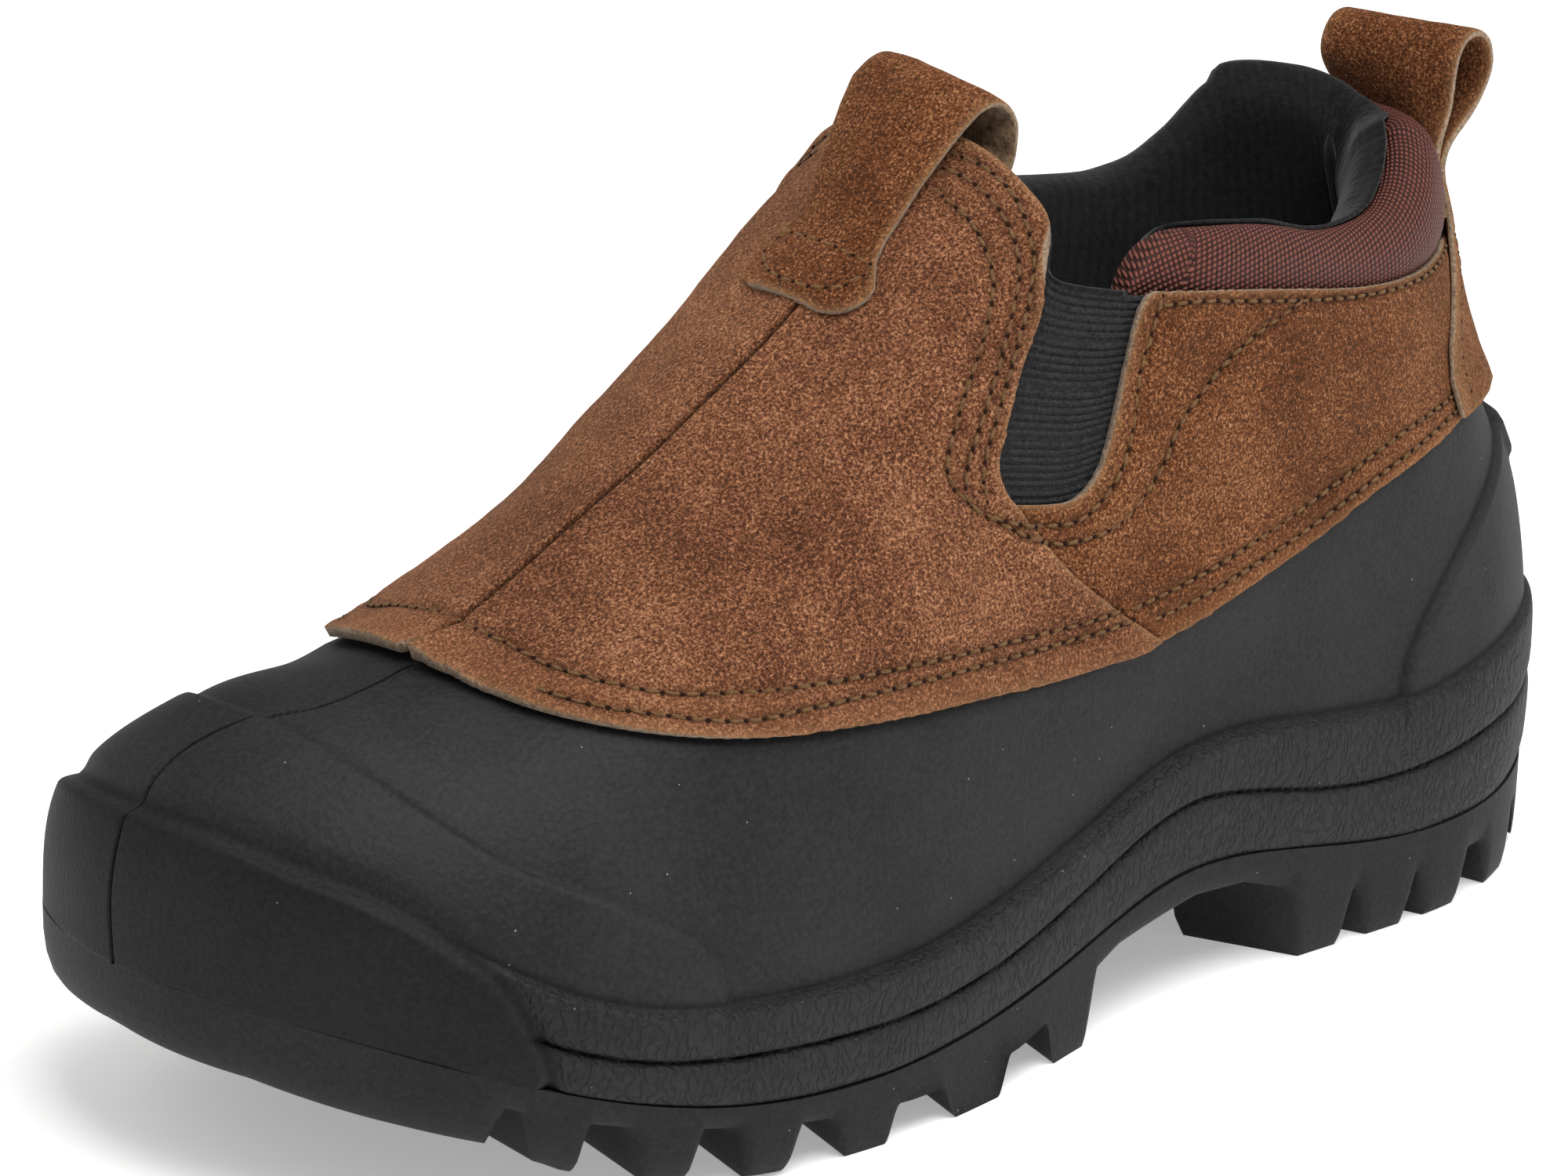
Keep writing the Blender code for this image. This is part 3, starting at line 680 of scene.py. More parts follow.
@dataclass(frozen=True)
class PlainFibre:
    """Matte fibrous surface in two tones: cut suede edges, flesh sides, thread, felt and fleece."""

    name: str
    dark: str
    light: str
    size_mm: float = 0.9
    bump_mm: float = 0.2
    sheen: float = 0.1
    ribs_mm: float = 0.0  # pitch of knit ribs along the first UV axis, none at 0
    rib_share: float = 0.06
    bump_strength: float = 0.7
    roughness: float = 0.95
    gloss: float = 0.15

    def material(self) -> Material:
        """Make the material."""
        made = Shading(self.name)
        height = made.noise(self.size_mm, detail=3.0, roughness=0.75)
        if self.ribs_mm:
            knit = made.wave("SINE", made.uv_axes().outputs["X"], self.ribs_mm)
            height = made.math("MULTIPLY_ADD", knit, self.rib_share, height)
        return made.finished({
            "Base Color": made.ramp(height, ((0.3, self.dark), (0.7, self.light))),
            "Roughness": self.roughness, "Specular IOR Level": self.gloss, "Sheen Weight": self.sheen,
            "Normal": made.bump(height, self.bump_strength, self.bump_mm)})


@dataclass(frozen=True)
class WovenTextile:
    """Heavy plain-woven nylon over foam: rows of short raised yarns, brown, with a dull yarn gloss."""

    name: str = "ballistic_weave"
    # colours by the yarns' height: painted shade in the gaps between raised yarns, the plain yarn, and the
    # yarns' crowns painted lighter
    gap: str = "#24100c"
    yarn: str = "#5c3229"
    top: str = "#824c40"
    turn: float = 28.0  # degrees between the yarns and the roll
    pitch_mm: float = 3.1  # two yarns
    yarn_edge: Span = (0.5, 0.95)
    depth_mm: float = 0.5
    bump_strength: float = 0.9
    fuzz_mm: float = 1.1
    fuzz_share: float = 0.35
    roughness: float = 0.62
    gloss: float = 0.22

    def material(self) -> Material:
        """Make the material; UVs are in mm along and round the roll."""
        made = Shading(self.name)
        axes = made.uv_axes(self.turn)
        sets = []
        for kind in ("SINE", "COSINE"):
            pair = [made.wave(kind, axes.outputs[axis], self.pitch_mm) for axis in ("X", "Y")]
            sets.append(made.math("ABSOLUTE", made.math("MULTIPLY", *pair)))
        height = made.spread(made.math("MAXIMUM", *sets), *self.yarn_edge)
        tone = made.math("MULTIPLY_ADD", made.noise(self.fuzz_mm), self.fuzz_share, height)
        # darker gaps and lighter crowns follow the height: painted shade and painted highlight on the weave
        return made.finished({
            "Base Color": made.ramp(tone, ((0.12, self.gap), (0.5, self.yarn), (1.0, self.top))),
            "Roughness": self.roughness, "Specular IOR Level": self.gloss,
            "Normal": made.bump(height, self.bump_strength, self.depth_mm)})


@dataclass(frozen=True)
class StudioPaper:
    """Seamless pale paper under the boot."""

    name: str = "studio_paper"
    colour: str = "#fbfbfa"
    glow: float = 0.35  # evens out the far paper
    tooth_mm: float = 4.0
    tooth_bump: float = 0.02
    tooth_depth_mm: float = 0.1
    roughness: float = 0.9

    def material(self) -> Material:
        """Make the material, with a faint tooth."""
        made = Shading(self.name)
        return made.finished({
            "Base Color": linear(self.colour), "Roughness": self.roughness,
            "Emission Color": linear(self.colour), "Emission Strength": self.glow,
            "Normal": made.bump(made.noise(self.tooth_mm), self.tooth_bump, self.tooth_depth_mm)})


@dataclass(frozen=True)
class Finishes:
    """Every finish of the boot, made once."""

    rubber: Material
    suede: Material
    vamp_suede: Material
    raw_edge: Material
    flesh_side: Material
    thread: Material
    needle_hole: Material
    elastic: Material
    weave: Material
    fleece: Material
    felt: Material

    @classmethod
    def make(cls) -> Finishes:
        """Build all the materials."""
        vamp_browns = ("#3d2216", "#5e3824", "#7e5037", "#9f6c4d", "#b98863")
        return cls(
            rubber=MouldedRubber().material(),
            suede=Suede().material(),
            vamp_suede=Suede("split_suede_vamp", vamp_browns, "#855639").material(),
            raw_edge=PlainFibre("cut_suede_edge", "#5f4a39", "#ad957c", size_mm=0.7, bump_mm=0.3).material(),
            flesh_side=PlainFibre(
                "suede_flesh_side", "#3f2c1c", "#957a5e", size_mm=1.6, bump_mm=0.8, sheen=0.2).material(),
            thread=PlainFibre(
                "spun_polyester_thread", "#4e3521", "#83623f", size_mm=0.6, bump_mm=0.1).material(),
            needle_hole=PlainFibre(
                "needle_hole_shadow", "#1c0f08", "#2c190f", size_mm=0.6, bump_mm=0.05, sheen=0.0).material(),
            elastic=PlainFibre(
                "covered_elastic", "#0f0f10", "#39393b", size_mm=0.6, bump_mm=0.25, sheen=0.05).material(),
            weave=WovenTextile().material(),
            fleece=PlainFibre("brushed_fleece", "#060606", "#1b1a1c", size_mm=1.4, bump_mm=0.5, sheen=0.15,
                              ribs_mm=2.6).material(),
            felt=PlainFibre("felted_footbed", "#080808", "#161617", size_mm=1.6, bump_mm=0.4).material())


def fit(piece: Piece, nodes: Sequence[str]) -> Piece:
    """Tie a finished piece to the frame.

    Args:
        piece: The piece, in place.
        nodes: Solids that it stands for.

    Returns:
        The same piece.
    """
    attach(piece, BODY)
    if nodes:
        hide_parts(*nodes)
    LOG.info("%s: %d faces", piece.name, len(piece.data.polygons))
    return piece


# Rubber foot

@dataclass(frozen=True)
class Swell:
    """A soft ridge, groove or painted shade across a distance: its height, its width and where its middle is.
    """

    height: float
    width: float
    at: float = 0.0

    def over(self, gap: Array) -> Array:
        """Height at each distance."""
        return self.height * bell(gap - self.at, self.width)


def on_both_sides(line: Pairs, count: int = DENSE) -> Array:
    """Points of the last along a smooth line of (station from the toe, level), on either side of the boot."""
    h, level = curve_through(line, count).T
    return np.vstack([LAST.surface(side.station(h), level) for side in Side])


# station from the toe, level of the suede's lower edge
HEM_LINE = (
    (0.0, 2.97), (0.5, 2.975), (1.5, 2.985), (3.0, 2.995), (6.2, 2.998), (7.6, 3.01), (8.3, 3.08),
    (8.7, 3.15), (9.0, 3.21), (10.0, 3.24))


@dataclass
class RubberShell:
    """Moulded rubber foot: toe bumper, toe cap, ribbed band and heel counter in one casting."""

    inner: float = -2.6
    rib_out: float = 2.2
    rib_bulge: float = 0.8
    rib_power: float = 2.5  # how square the ribs are
    bumper_out: float = 3.4
    cap_out: float = 1.3
    counter_out: float = 1.3
    plate_out: float = 1.3
    # share of painted shade over the bumper's colour, and share of its gloss that is dulled
    bumper_shade_and_matt: float = 0.42
    top_level: float = 3.42
    mould_top: float = 2.98  # level where the parting line goes under the suede
    # height, width and middle of each soft form, across the distance to its line
    groove: Swell = Swell(0.75, 0.42)
    tuck: Swell = Swell(0.9, 1.4, -1.6)  # the band dips where it meets the bumper
    hollow: Swell = Swell(0.55, 1.7, -2.2)  # the toe dips above the bumper's lip
    mould: Swell = Swell(1.3, 0.27)
    # shares of painted shade darkening the colour along the groove, at the steps, above the bumper's lip and
    # in the parting line
    groove_shade: Swell = Swell(0.8, 0.45)
    edge_shade: Swell = Swell(0.5, 0.7, -0.4)
    cap_shade: Swell = Swell(0.2, 0.7, -0.4)
    lip_shade: Swell = Swell(0.5, 1.1, -1.3)
    mould_shade: Swell = Swell(0.95, 0.42)
    # distances from a moulded line between which a form starts
    bumper_ramp: Span = (-1.1, 1.5)
    band_ramp: Span = (-0.5, 1.3)
    edge_ramp: Span = (-0.35, 1.3)
    groove_ramp: Span = (0.3, 2.2)
    wrinkle_ramp: Span = (0.8, 4.5)
    wrinkle_stations: Span = (2.3, 2.6)
    # heel plate: stations of its side, levels of its lower and its upper edge
    plate: Pairs = ((9.58, 9.66), (2.16, 2.24), (2.62, 2.70))
    uneven: Triple = (0.12, 22.0, 3.1)  # height, size and upper level of the waves
    hem_sink: Triple = (0.8, -0.08, 0.06)  # depth and levels of the tuck under the suede
    columns: int = 560
    mould_points: int = 1500
    seam_columns: Triple = (-0.08, 0.28, 0.004)
    rear_columns: Triple = (2.1, 2.9, 0.014)
    # rows: shares from the sole to the groove, from there to the band's edge, and steps of level above it
    low_rows: tuple[float, ...] = (
        0.0, 0.06, 0.14, 0.24, 0.36, 0.48, 0.6, 0.71, 0.8, 0.87, 0.92, 0.95, 0.97, 0.985, 1.0)
    mid_rows: tuple[float, ...] = (
        0.015, 0.03, 0.05, 0.08, 0.13, 0.2, 0.29, 0.39, 0.5, 0.61, 0.71, 0.79, 0.85, 0.9, 0.935, 0.96,
        0.98, 1.0)
    high_rows: tuple[float, ...] = (0.01, 0.02, 0.035, 0.055, 0.08, 0.11)
    upper_rows: int = 62
    inner_rows: int = 7
    # station from the toe, level
    band_line: Pairs = (
        (2.3, 0.97), (3.0, 0.99), (4.09, 0.96), (4.7, 0.88), (5.34, 0.80), (6.17, 0.82), (6.83, 1.02),
        (7.24, 1.07), (7.7, 1.02), (8.18, 0.97), (8.99, 1.03), (9.5, 1.03), (10.0, 1.02))
    groove_line: Pairs = (
        (2.72, 0.45), (3.07, 0.45), (4.09, 0.48), (4.8, 0.41), (5.33, 0.36), (6.19, 0.41), (6.93, 0.55),
        (7.3, 0.50), (7.72, 0.44), (8.73, 0.49), (9.4, 0.52), (10.0, 0.52))
    bumper_line: Pairs = (
        (0.0, 0.97), (0.62, 0.95), (1.24, 0.92), (1.8, 0.96), (2.15, 0.94), (2.41, 0.84), (2.56, 0.74),
        (2.71, 0.44), (2.77, 0.16), (2.74, -0.02))
    bumper_top: int = 5  # points of that line above the band
    cap_line: Pairs = (
        (0.0, 1.99), (0.94, 1.90), (1.77, 1.86), (2.26, 1.83), (2.70, 1.81), (3.17, 1.66), (3.49, 1.49),
        (3.68, 1.30), (3.79, 1.04), (3.8, 0.9))
    counter_line: Pairs = (
        (8.14, 0.85), (8.16, 0.97), (8.21, 1.27), (8.41, 1.69), (8.72, 2.07), (9.18, 2.42), (9.6, 2.62),
        (10.0, 2.70))
    # station round the boot, level
    mould_line: Pairs = (
        (0.10, 0.0), (0.08, 0.37), (0.07, 0.82), (0.01, 1.15), (-0.04, 1.54), (0.07, 1.97), (0.24, 2.24),
        (0.19, 2.67), (0.14, 3.0))

    def _signed(self, points: Array, u: Array, level: Array, line: Pairs) -> Array:
        """Distance to a moulded line.

        Args:
            points: Points of the last.
            u: Their stations.
            level: Their levels.
            line: The line as (station from the toe, level), the same on both sides of the boot.

        Returns:
            Distance in mm, positive towards the sole.
        """
        gap = distance_to(points, on_both_sides(line))
        curve = curve_through(line, DENSE)
        beyond = 0.5  # stations by which a line is carried past the toe or the heel
        first = curve[0] - (beyond * (curve[0, 0] == 0), 0)
        last = curve[-1] + (beyond * (curve[-1, 0] == HALF), 0)
        outline = np.vstack([(first[0], -1.0), first, curve, last, (last[0], -1.0)])
        return np.where(inside(outline, from_toe(u), level), gap, -gap)

    def _ribs(self, h: Array, level: Array) -> Array:
        """Height of the two rounded ribs of the band, without the groove between them."""
        groove, band = (smooth_by_station(line)(h) for line in (self.groove_line, self.band_line))
        lower = np.clip(level / groove, 0.0, 1.0)
        upper = np.clip((level - groove) / (band - groove), 0.0, 1.0)
        bulge = 1 - (1 - np.sin(math.pi * np.where(level < groove, lower, upper))) ** self.rib_power
        return self.rib_out + self.rib_bulge * bulge

    def outer(self, u: Array, level: Array) -> tuple[Array, Array, Array]:
        """How far the casting stands out from the last.

        Args:
            u: Stations.
            level: Levels.

        Returns:
            Offset in mm, the share of wrinkled band at each point and the share of painted shade and dulled
            gloss.
        """
        points, h = LAST.surface(u, level), from_toe(u)
        band, front, cap, counter = (self._signed(points, u, level, line) for line in (
            self.band_line, self.bumper_line, self.cap_line, self.counter_line))
        to_groove = distance_to(points, on_both_sides(self.groove_line))
        mould_u, mould_level = curve_through(self.mould_line, self.mould_points).T
        to_mould = distance_to(points, LAST.surface(mould_u, mould_level))
        bumper, wall = ease(front, *self.bumper_ramp), ease(band, *self.band_ramp)
        clear, seen = ease(-front, *self.groove_ramp), level < self.mould_top
        ribs = self._ribs(h, level) - clear * self.groove.over(to_groove)
        low = wall * ribs * (1 - bumper) + self.bumper_out * bumper
        low -= wall * self.tuck.over(front) + (1 - wall) * self.hollow.over(front)
        raised = self.cap_out * ease(cap, *self.edge_ramp) + self.counter_out * ease(counter, *self.edge_ramp)
        side, bottom, top = self.plate
        plate = ease(h, *side) * ease(level, *bottom) * (1 - ease(level, *top))
        out = low + raised * (1 - np.maximum(wall, bumper)) + self.plate_out * plate
        out -= self.mould.over(to_mould) * seen
        height, size, below = self.uneven
        out += height * soft_noise(points, size, SEED) * (level < below)
        depth, *ramp = self.hem_sink
        out -= depth * ease(level - by_station(HEM_LINE)(h), *ramp)
        edges = np.maximum(np.maximum(self.edge_shade.over(band), self.edge_shade.over(counter)),
                           self.cap_shade.over(cap))
        # painted shade: darker along the groove, at the band's, cap's and counter's steps, above the bumper's
        # lip, over the bumper and in the parting line; the same share dulls the gloss
        dark = np.maximum.reduce([
            self.groove_shade.over(to_groove) * wall * clear, edges * (1 - bumper),
            self.lip_shade.over(front), self.bumper_shade_and_matt * bumper, self.mould_shade.over(to_mould) * seen])
        wrinkled = wall * ease(-front, *self.wrinkle_ramp) * ease(h, *self.wrinkle_stations)
        return out, wrinkled, dark

    def build(self, finishes: Finishes) -> Piece:
        """Make the shell as a closed wall.

        Args:
            finishes: The finishes.

        Returns:
            The piece.
        """
        run = np.linspace(0, LAST.knots[-1], self.columns, endpoint=False)
        even = np.interp(run, LAST.knots, np.arange(ROUND + 1))
        seam, rear = np.arange(*self.seam_columns), np.arange(*self.rear_columns)
        us = np.unique(np.round(np.concatenate([even, seam % ROUND, rear, ROUND - rear]), 5))
        edge_line = self.bumper_line[:self.bumper_top] + self.band_line
        groove, edge = (smooth_by_station(line)(from_toe(us)) for line in (self.groove_line, edge_line))
        start = edge + self.high_rows[-1]
        levels = [groove * t for t in self.low_rows] + [groove + (edge - groove) * t for t in self.mid_rows]
        levels += [edge + d for d in self.high_rows]
        levels += [start + (self.top_level - start) * t for t in np.linspace(0, 1, self.upper_rows)[1:]]
        u, level = np.tile(us, len(levels)), np.concatenate(levels)
        out, band, dark = self.outer(u, level)
        iu, il = (g.ravel() for g in np.meshgrid(us, np.linspace(self.top_level, 0.0, self.inner_rows)))
        points = np.vstack([LAST.skin(u, level, out), LAST.skin(iu, il, self.inner)])
        rows, cols = len(levels) + self.inner_rows, len(us)
        faces = grid_quads(rows, cols, True)
        last = (rows - 1) * cols
        for c in range(cols):
            n = (c + 1) % cols
            faces.append((last + c, last + n, n, c))
        plain = np.zeros(len(iu))
        values = {"band": np.concatenate([band, plain]), "line": np.concatenate([dark, plain])}
        made = MeshData(points, faces, None, values).to_object("rubber_shell_cast", [finishes.rubber])
        return fit(made, ["rubber_shell"])


@dataclass
class Outsole:
    """Lugged sole: flush side, lifted arch, toe spring, heel and rows of lugs."""

    matt: float = 0.25  # share of gloss that the sole's rubber lacks
    gap: Pairs = ((2.6, 0.05), (2.9, 0.22))  # station, parting line under the shell
    side_out: float = 2.6
    toe_out: float = 3.4
    toe_end: float = 2.75
    toe_blend: float = 0.12  # stations over which the toe's side meets the rest
    toe_tread: float = 2.45  # the tread is whole up to this station
    lug_wall: float = 0.09
    step: float = 0.06
    wall_steps: int = 6
    sharp: float = 38.0  # degrees between faces that shade as a hard edge
    breaks: tuple[float, ...] = (0.0, 0.1, 2.45, 2.56, 7.0, 9.8, 9.9, 10.0)
    # share of the height, share of the draw-in
    side_profile: Pairs = ((0.04, 0.0), (0.35, 0.02), (0.62, 0.14), (0.82, 0.38), (0.93, 0.66), (0.985, 0.9))
    tread_z: Pairs = (
        (0.0, 25.0), (1.0, 22.5), (2.0, 17.0), (2.45, 13.5), (2.9, 7.5), (3.5, 2.5), (4.0, 0.3),
        (4.3, 0.0), (9.1, 0.0), (9.4, 1.5), (9.7, 5.0), (10.0, 8.0))
    notch_z: Pairs = (
        (0.0, 25.0), (1.0, 22.5), (2.0, 17.0), (2.45, 13.5), (2.56, 20.0), (2.85, 17.0), (3.45, 12.4),
        (4.18, 8.2), (4.87, 6.4), (5.6, 7.1), (6.0, 10.0), (6.4, 16.0), (7.0, 19.0), (7.3, 18.0),
        (7.6, 13.0), (7.9, 10.0), (9.0, 9.5), (10.0, 12.0))
    tread_in: Pairs = (
        (0.0, 3.0), (1.0, 3.5), (2.0, 5.0), (2.5, 6.5), (3.0, 6.0), (3.5, 5.5), (4.0, 4.0), (4.5, 1.2),
        (5.0, -0.6), (5.5, -1.0), (6.2, 1.0), (7.5, 2.0), (9.0, 1.6), (10.0, -1.0))
    lugs: Pairs = (
        (2.74, 2.96), (3.34, 3.55), (3.92, 4.13), (4.48, 4.71), (5.15, 5.43), (5.90, 6.14), (7.62, 7.82),
        (8.00, 8.20), (8.36, 8.57), (8.87, 9.08), (9.40, 9.62))
    chevron: Pairs = (
        (0.0, 0.0), (2.4, 0.0), (3.0, -0.22), (6.2, -0.22), (7.5, 0.34), (8.6, 0.26), (9.3, 0.05),
        (9.6, 0.0), (10.0, 0.0))
    chevron_slope: float = 1.25
    # share of the width from the lateral edge, whether a lug stands there
    across: Pairs = (
        (0.0, 1), (0.02, 1), (0.26, 1), (0.275, 0.85), (0.295, 0.1), (0.31, 0), (0.38, 0), (0.395, 0.1),
        (0.415, 0.85), (0.43, 1), (0.57, 1), (0.585, 0.85), (0.605, 0.1), (0.62, 0), (0.69, 0),
        (0.705, 0.1), (0.725, 0.85), (0.74, 1), (0.98, 1), (1.0, 1))

    def _side(self, h: Array) -> Array:
        """How far the sole's side stands out from the last."""
        behind = np.clip((h - self.toe_end) / self.toe_blend + 0.5, 0, 1)
        return self.side_out + (self.toe_out - self.side_out) * (1 - behind)

    def _row(self, h: Array, share: float, out: Array, z: Array) -> Array:
        """One line along the sole.

        Args:
            h: Stations from the toe.
            share: Share of the width from the lateral edge.
            out: How far the sole's sides stand out there.
            z: Heights of the line.

        Returns:
            One point a station.
        """
        left, right = LAST.skin(h, AT_SOLE, out), LAST.skin(ROUND - h, AT_SOLE, out)
        row = left + (right - left) * share
        row[:, 2] = z
        return row

    def _stations(self) -> tuple[Array, Array]:
        """Stations along the sole, close together on the lugs' walls, and the share of lug at each."""
        walls = [wall for a, b in self.lugs for wall in ((a - self.lug_wall, a), (b, b + self.lug_wall))]
        knots = np.unique(np.array([end for wall in walls for end in wall] + list(self.breaks)))
        pieces = []
        for a, b in zip(knots, knots[1:]):
            on_wall = any(np.allclose((a, b), wall, rtol=0.0, atol=1e-6) for wall in walls)
            steps = self.wall_steps if on_wall else int(math.ceil((b - a) / self.step))
            pieces.append(np.linspace(a, b, steps + 1)[:-1])
        stations = np.concatenate(pieces + [knots[-1:]])
        flag = np.zeros(len(stations))
        for k, s in enumerate(stations):
            for a, b in self.lugs:
                if a - self.lug_wall < s < b + self.lug_wall:
                    flag[k] = ease(s, a - self.lug_wall, a) * (1 - ease(s, b, b + self.lug_wall))
        return stations, flag

    def build(self, finishes: Finishes) -> Piece:
        """Make the sole as one closed mesh with eased lug walls.

        Args:
            finishes: The finishes.

        Returns:
            The piece.
        """
        stations, flag = self._stations()
        tread, notch, narrow = (by_station(table) for table in (self.tread_z, self.notch_z, self.tread_in))
        side, lead = self._side(stations), by_station(self.chevron)(stations)
        roof = LAST.surface(stations, AT_SOLE)[:, 2] - by_station(self.gap)(stations)
        deep = tread(stations) - notch(stations)
        foot = notch(stations) + deep * np.where(stations > self.toe_tread, flag, 1.0)
        top = [self._row(stations, share, side, roof) for share, _ in self.across]
        drawn = narrow(stations)
        climb, down = ([self._row(stations, share, side - drawn * pull, roof + (foot - roof) * part)
                        for part, pull in self.side_profile] for share in (0.0, 1.0))
        bottom = []
        for share, lug in self.across:
            bent = min(1.0, self.chevron_slope * (1 - abs(2 * share - 1)))
            h = np.clip(stations - lead * bent, 0.0, HALF)
            z = notch(h) + (tread(h) - notch(h)) * flag * lug
            bottom.append(self._row(h, share, self._side(h) - narrow(h), z))
        rings = np.stack(top + down + bottom[::-1] + climb[::-1], axis=1)
        points, faces = welded(rings.reshape(-1, 3), grid_quads(*rings.shape[:2], True))
        blank = np.zeros(len(points))
        mesh = MeshData(points, faces, None, {"band": blank, "line": blank + self.matt})
        made = mesh.to_object("lugged_outsole", [finishes.rubber])
        face_outwards(made)
        made.data.set_sharp_from_angle(angle=math.radians(self.sharp))
        return fit(made, ["outsole"])


def welded(points: Array, faces: Faces) -> tuple[Array, Faces]:
    """Join points at the same place and drop the faces that close up."""
    _, first, index = np.unique(np.round(points, 3), axis=0, return_index=True, return_inverse=True)
    index = index.ravel()
    kept = []
    for face in faces:
        ring = [int(index[k]) for k in face]
        ring = [k for n, k in enumerate(ring) if k != ring[n - 1]]
        if len(set(ring)) > 2:
            kept.append(tuple(ring))
    return points[first], kept


def face_outwards(made: Piece) -> None:
    """Turn a closed mesh's faces so that its volume is positive."""
    mesh = made.data
    points = np.array([v.co for v in mesh.vertices])
    volume = 0.0
    for polygon in mesh.polygons:
        ring = points[list(polygon.vertices)]
        for k in range(1, len(ring) - 1):
            volume += float(np.dot(ring[0], np.cross(ring[k], ring[k + 1])))
    if volume < 0:
        mesh.flip_normals()


@dataclass
class Footbed:
    """Felted foam footbed, dished at its edges."""

    inset: float = -4.4
    edge_level: float = 0.35  # level of the last that gives its outline
    thick: float = 5.0
    sink: float = 0.6  # how much lower its middle is
    dish: float = 2.1  # how far its sides climb
    dish_power: int = 6
    edge_drop: float = 1.6
    lift: float = 0.9
    blunt: float = 0.1
    rows: int = 90
    across: tuple[float, ...] = (0.0, 0.03, 0.08, 0.2, 0.35, 0.5, 0.65, 0.8, 0.92, 0.97, 1.0)

    def build(self, finishes: Finishes) -> Piece:
        """Make the footbed as a closed pad."""
        stations = np.linspace(self.blunt, HALF - self.blunt, self.rows)
        left, right = (LAST.skin(side.station(stations), self.edge_level, self.inset) for side in Side)
        base = LAST.surface(stations, AT_SOLE)[:, 2] + self.lift
        rings = []
        for share in self.across:
            row = left + (right - left) * share
            row[:, 2] = (base + self.thick - self.sink + self.dish * abs(2 * share - 1) ** self.dish_power
                         - self.edge_drop * (share in (0.0, 1.0)))
            rings.append(row)
        for share in self.across[::-1]:
            row = left + (right - left) * share
            row[:, 2] = base
            rings.append(row)
        sections = np.stack(rings, axis=1)
        count, size = sections.shape[:2]
        faces = grid_quads(count, size, True)
        for s, turn in ((0, False), ((count - 1) * size, True)):
            for k in range(len(self.across) - 1):
                cap = (s + k, s + size - 1 - k, s + size - 2 - k, s + k + 1)
                faces.append(cap[::-1] if turn else cap)
        made = MeshData(sections.reshape(-1, 3), faces).to_object("footbed_pad", [finishes.felt])
        face_outwards(made)
        return fit(made, ["insole"])


# Suede upper

@dataclass(frozen=True)
class Crease:
    """A soft trough or ridge laid along a given path on the upper."""

    path: Pairs  # station, level
    width: float
    height: float
    points: int = 80

    def shape(self, points: Array) -> Array:
        """Offset that the crease adds at points of the last."""
        u, level = curve_through(self.path, self.points).T
        return self.height * bell(distance_to(points, LAST.surface(u, level)), self.width)


@dataclass(frozen=True)
class StitchRow:
    """A row of stitches by (station from the toe, level): whole across the toe, or sewn on both sides."""

    name: str
    path: Pairs
    whole: bool = False
    medial_from: float = 0.0  # station where the medial row comes out from under the strap

    def stations(self, count: int = 500) -> list[tuple[Array, Array]]:
        """Stations and levels of the row on each side that has it."""
        u, level = curve_through(self.path, count).T
        seen = u >= self.medial_from
        return [(u, level)] if self.whole else [(u, level), (ROUND - u[seen], level[seen])]


HEM_ROW = (
    (0.0, 3.205), (0.36, 3.20), (0.80, 3.20), (1.36, 3.18), (2.09, 3.17), (2.60, 3.17), (3.02, 3.20),
    (3.80, 3.25), (4.70, 3.29), (5.90, 3.32))
ROWS = (
    StitchRow("vamp_hem_upper", tuple((-h, lv) for h, lv in HEM_ROW[:0:-1]) + HEM_ROW, True),
    StitchRow("vamp_hem_lower", (
        (1.55, 3.065), (2.05, 3.06), (2.65, 3.07), (3.24, 3.075), (3.49, 3.11), (3.89, 3.15), (4.77, 3.20),
        (6.0, 3.24))),
    StitchRow("arch_outer", (
        (0.70, 4.955), (1.27, 4.965), (2.0, 4.955), (2.64, 4.91), (3.2, 4.885), (3.52, 4.83), (3.60, 4.66),
        (3.72, 4.42), (3.83, 4.19), (4.0, 4.05)), False, 1.9),
    StitchRow("arch_inner", (
        (0.60, 4.91), (1.11, 4.92), (1.92, 4.905), (2.48, 4.86), (2.97, 4.78), (3.30, 4.64), (3.48, 4.42),
        (3.62, 4.19), (3.86, 4.02), (4.30, 3.92), (5.01, 3.88), (5.70, 3.90), (6.02, 4.06), (6.07, 4.31),
        (6.02, 4.56), (6.03, 4.81), (6.03, 4.93)), False, 1.9),
    StitchRow("arch_third", (
        (0.86, 4.86), (1.78, 4.83), (2.44, 4.74), (2.83, 4.58), (3.10, 4.38), (3.30, 4.22), (3.77, 4.04),
        (4.56, 3.86), (5.57, 3.76), (6.10, 3.80), (6.34, 4.00), (6.44, 4.25), (6.68, 4.53),
        (7.23, 4.90)), False, 1.9),
    StitchRow("quarter_top", (
        (6.12, 4.93), (6.37, 4.94), (7.10, 4.92), (7.53, 4.92), (8.06, 4.93), (8.48, 4.93), (9.1, 4.93),
        (9.36, 4.93))),
    StitchRow("quarter_hem_upper", (
        (6.12, 3.29), (6.76, 3.31), (7.61, 3.37), (8.33, 3.46), (8.75, 3.47), (8.93, 3.47))),
    StitchRow("quarter_hem_lower", (
        (6.26, 3.17), (6.89, 3.16), (7.74, 3.16), (8.45, 3.24), (8.75, 3.29), (8.93, 3.31))),
)


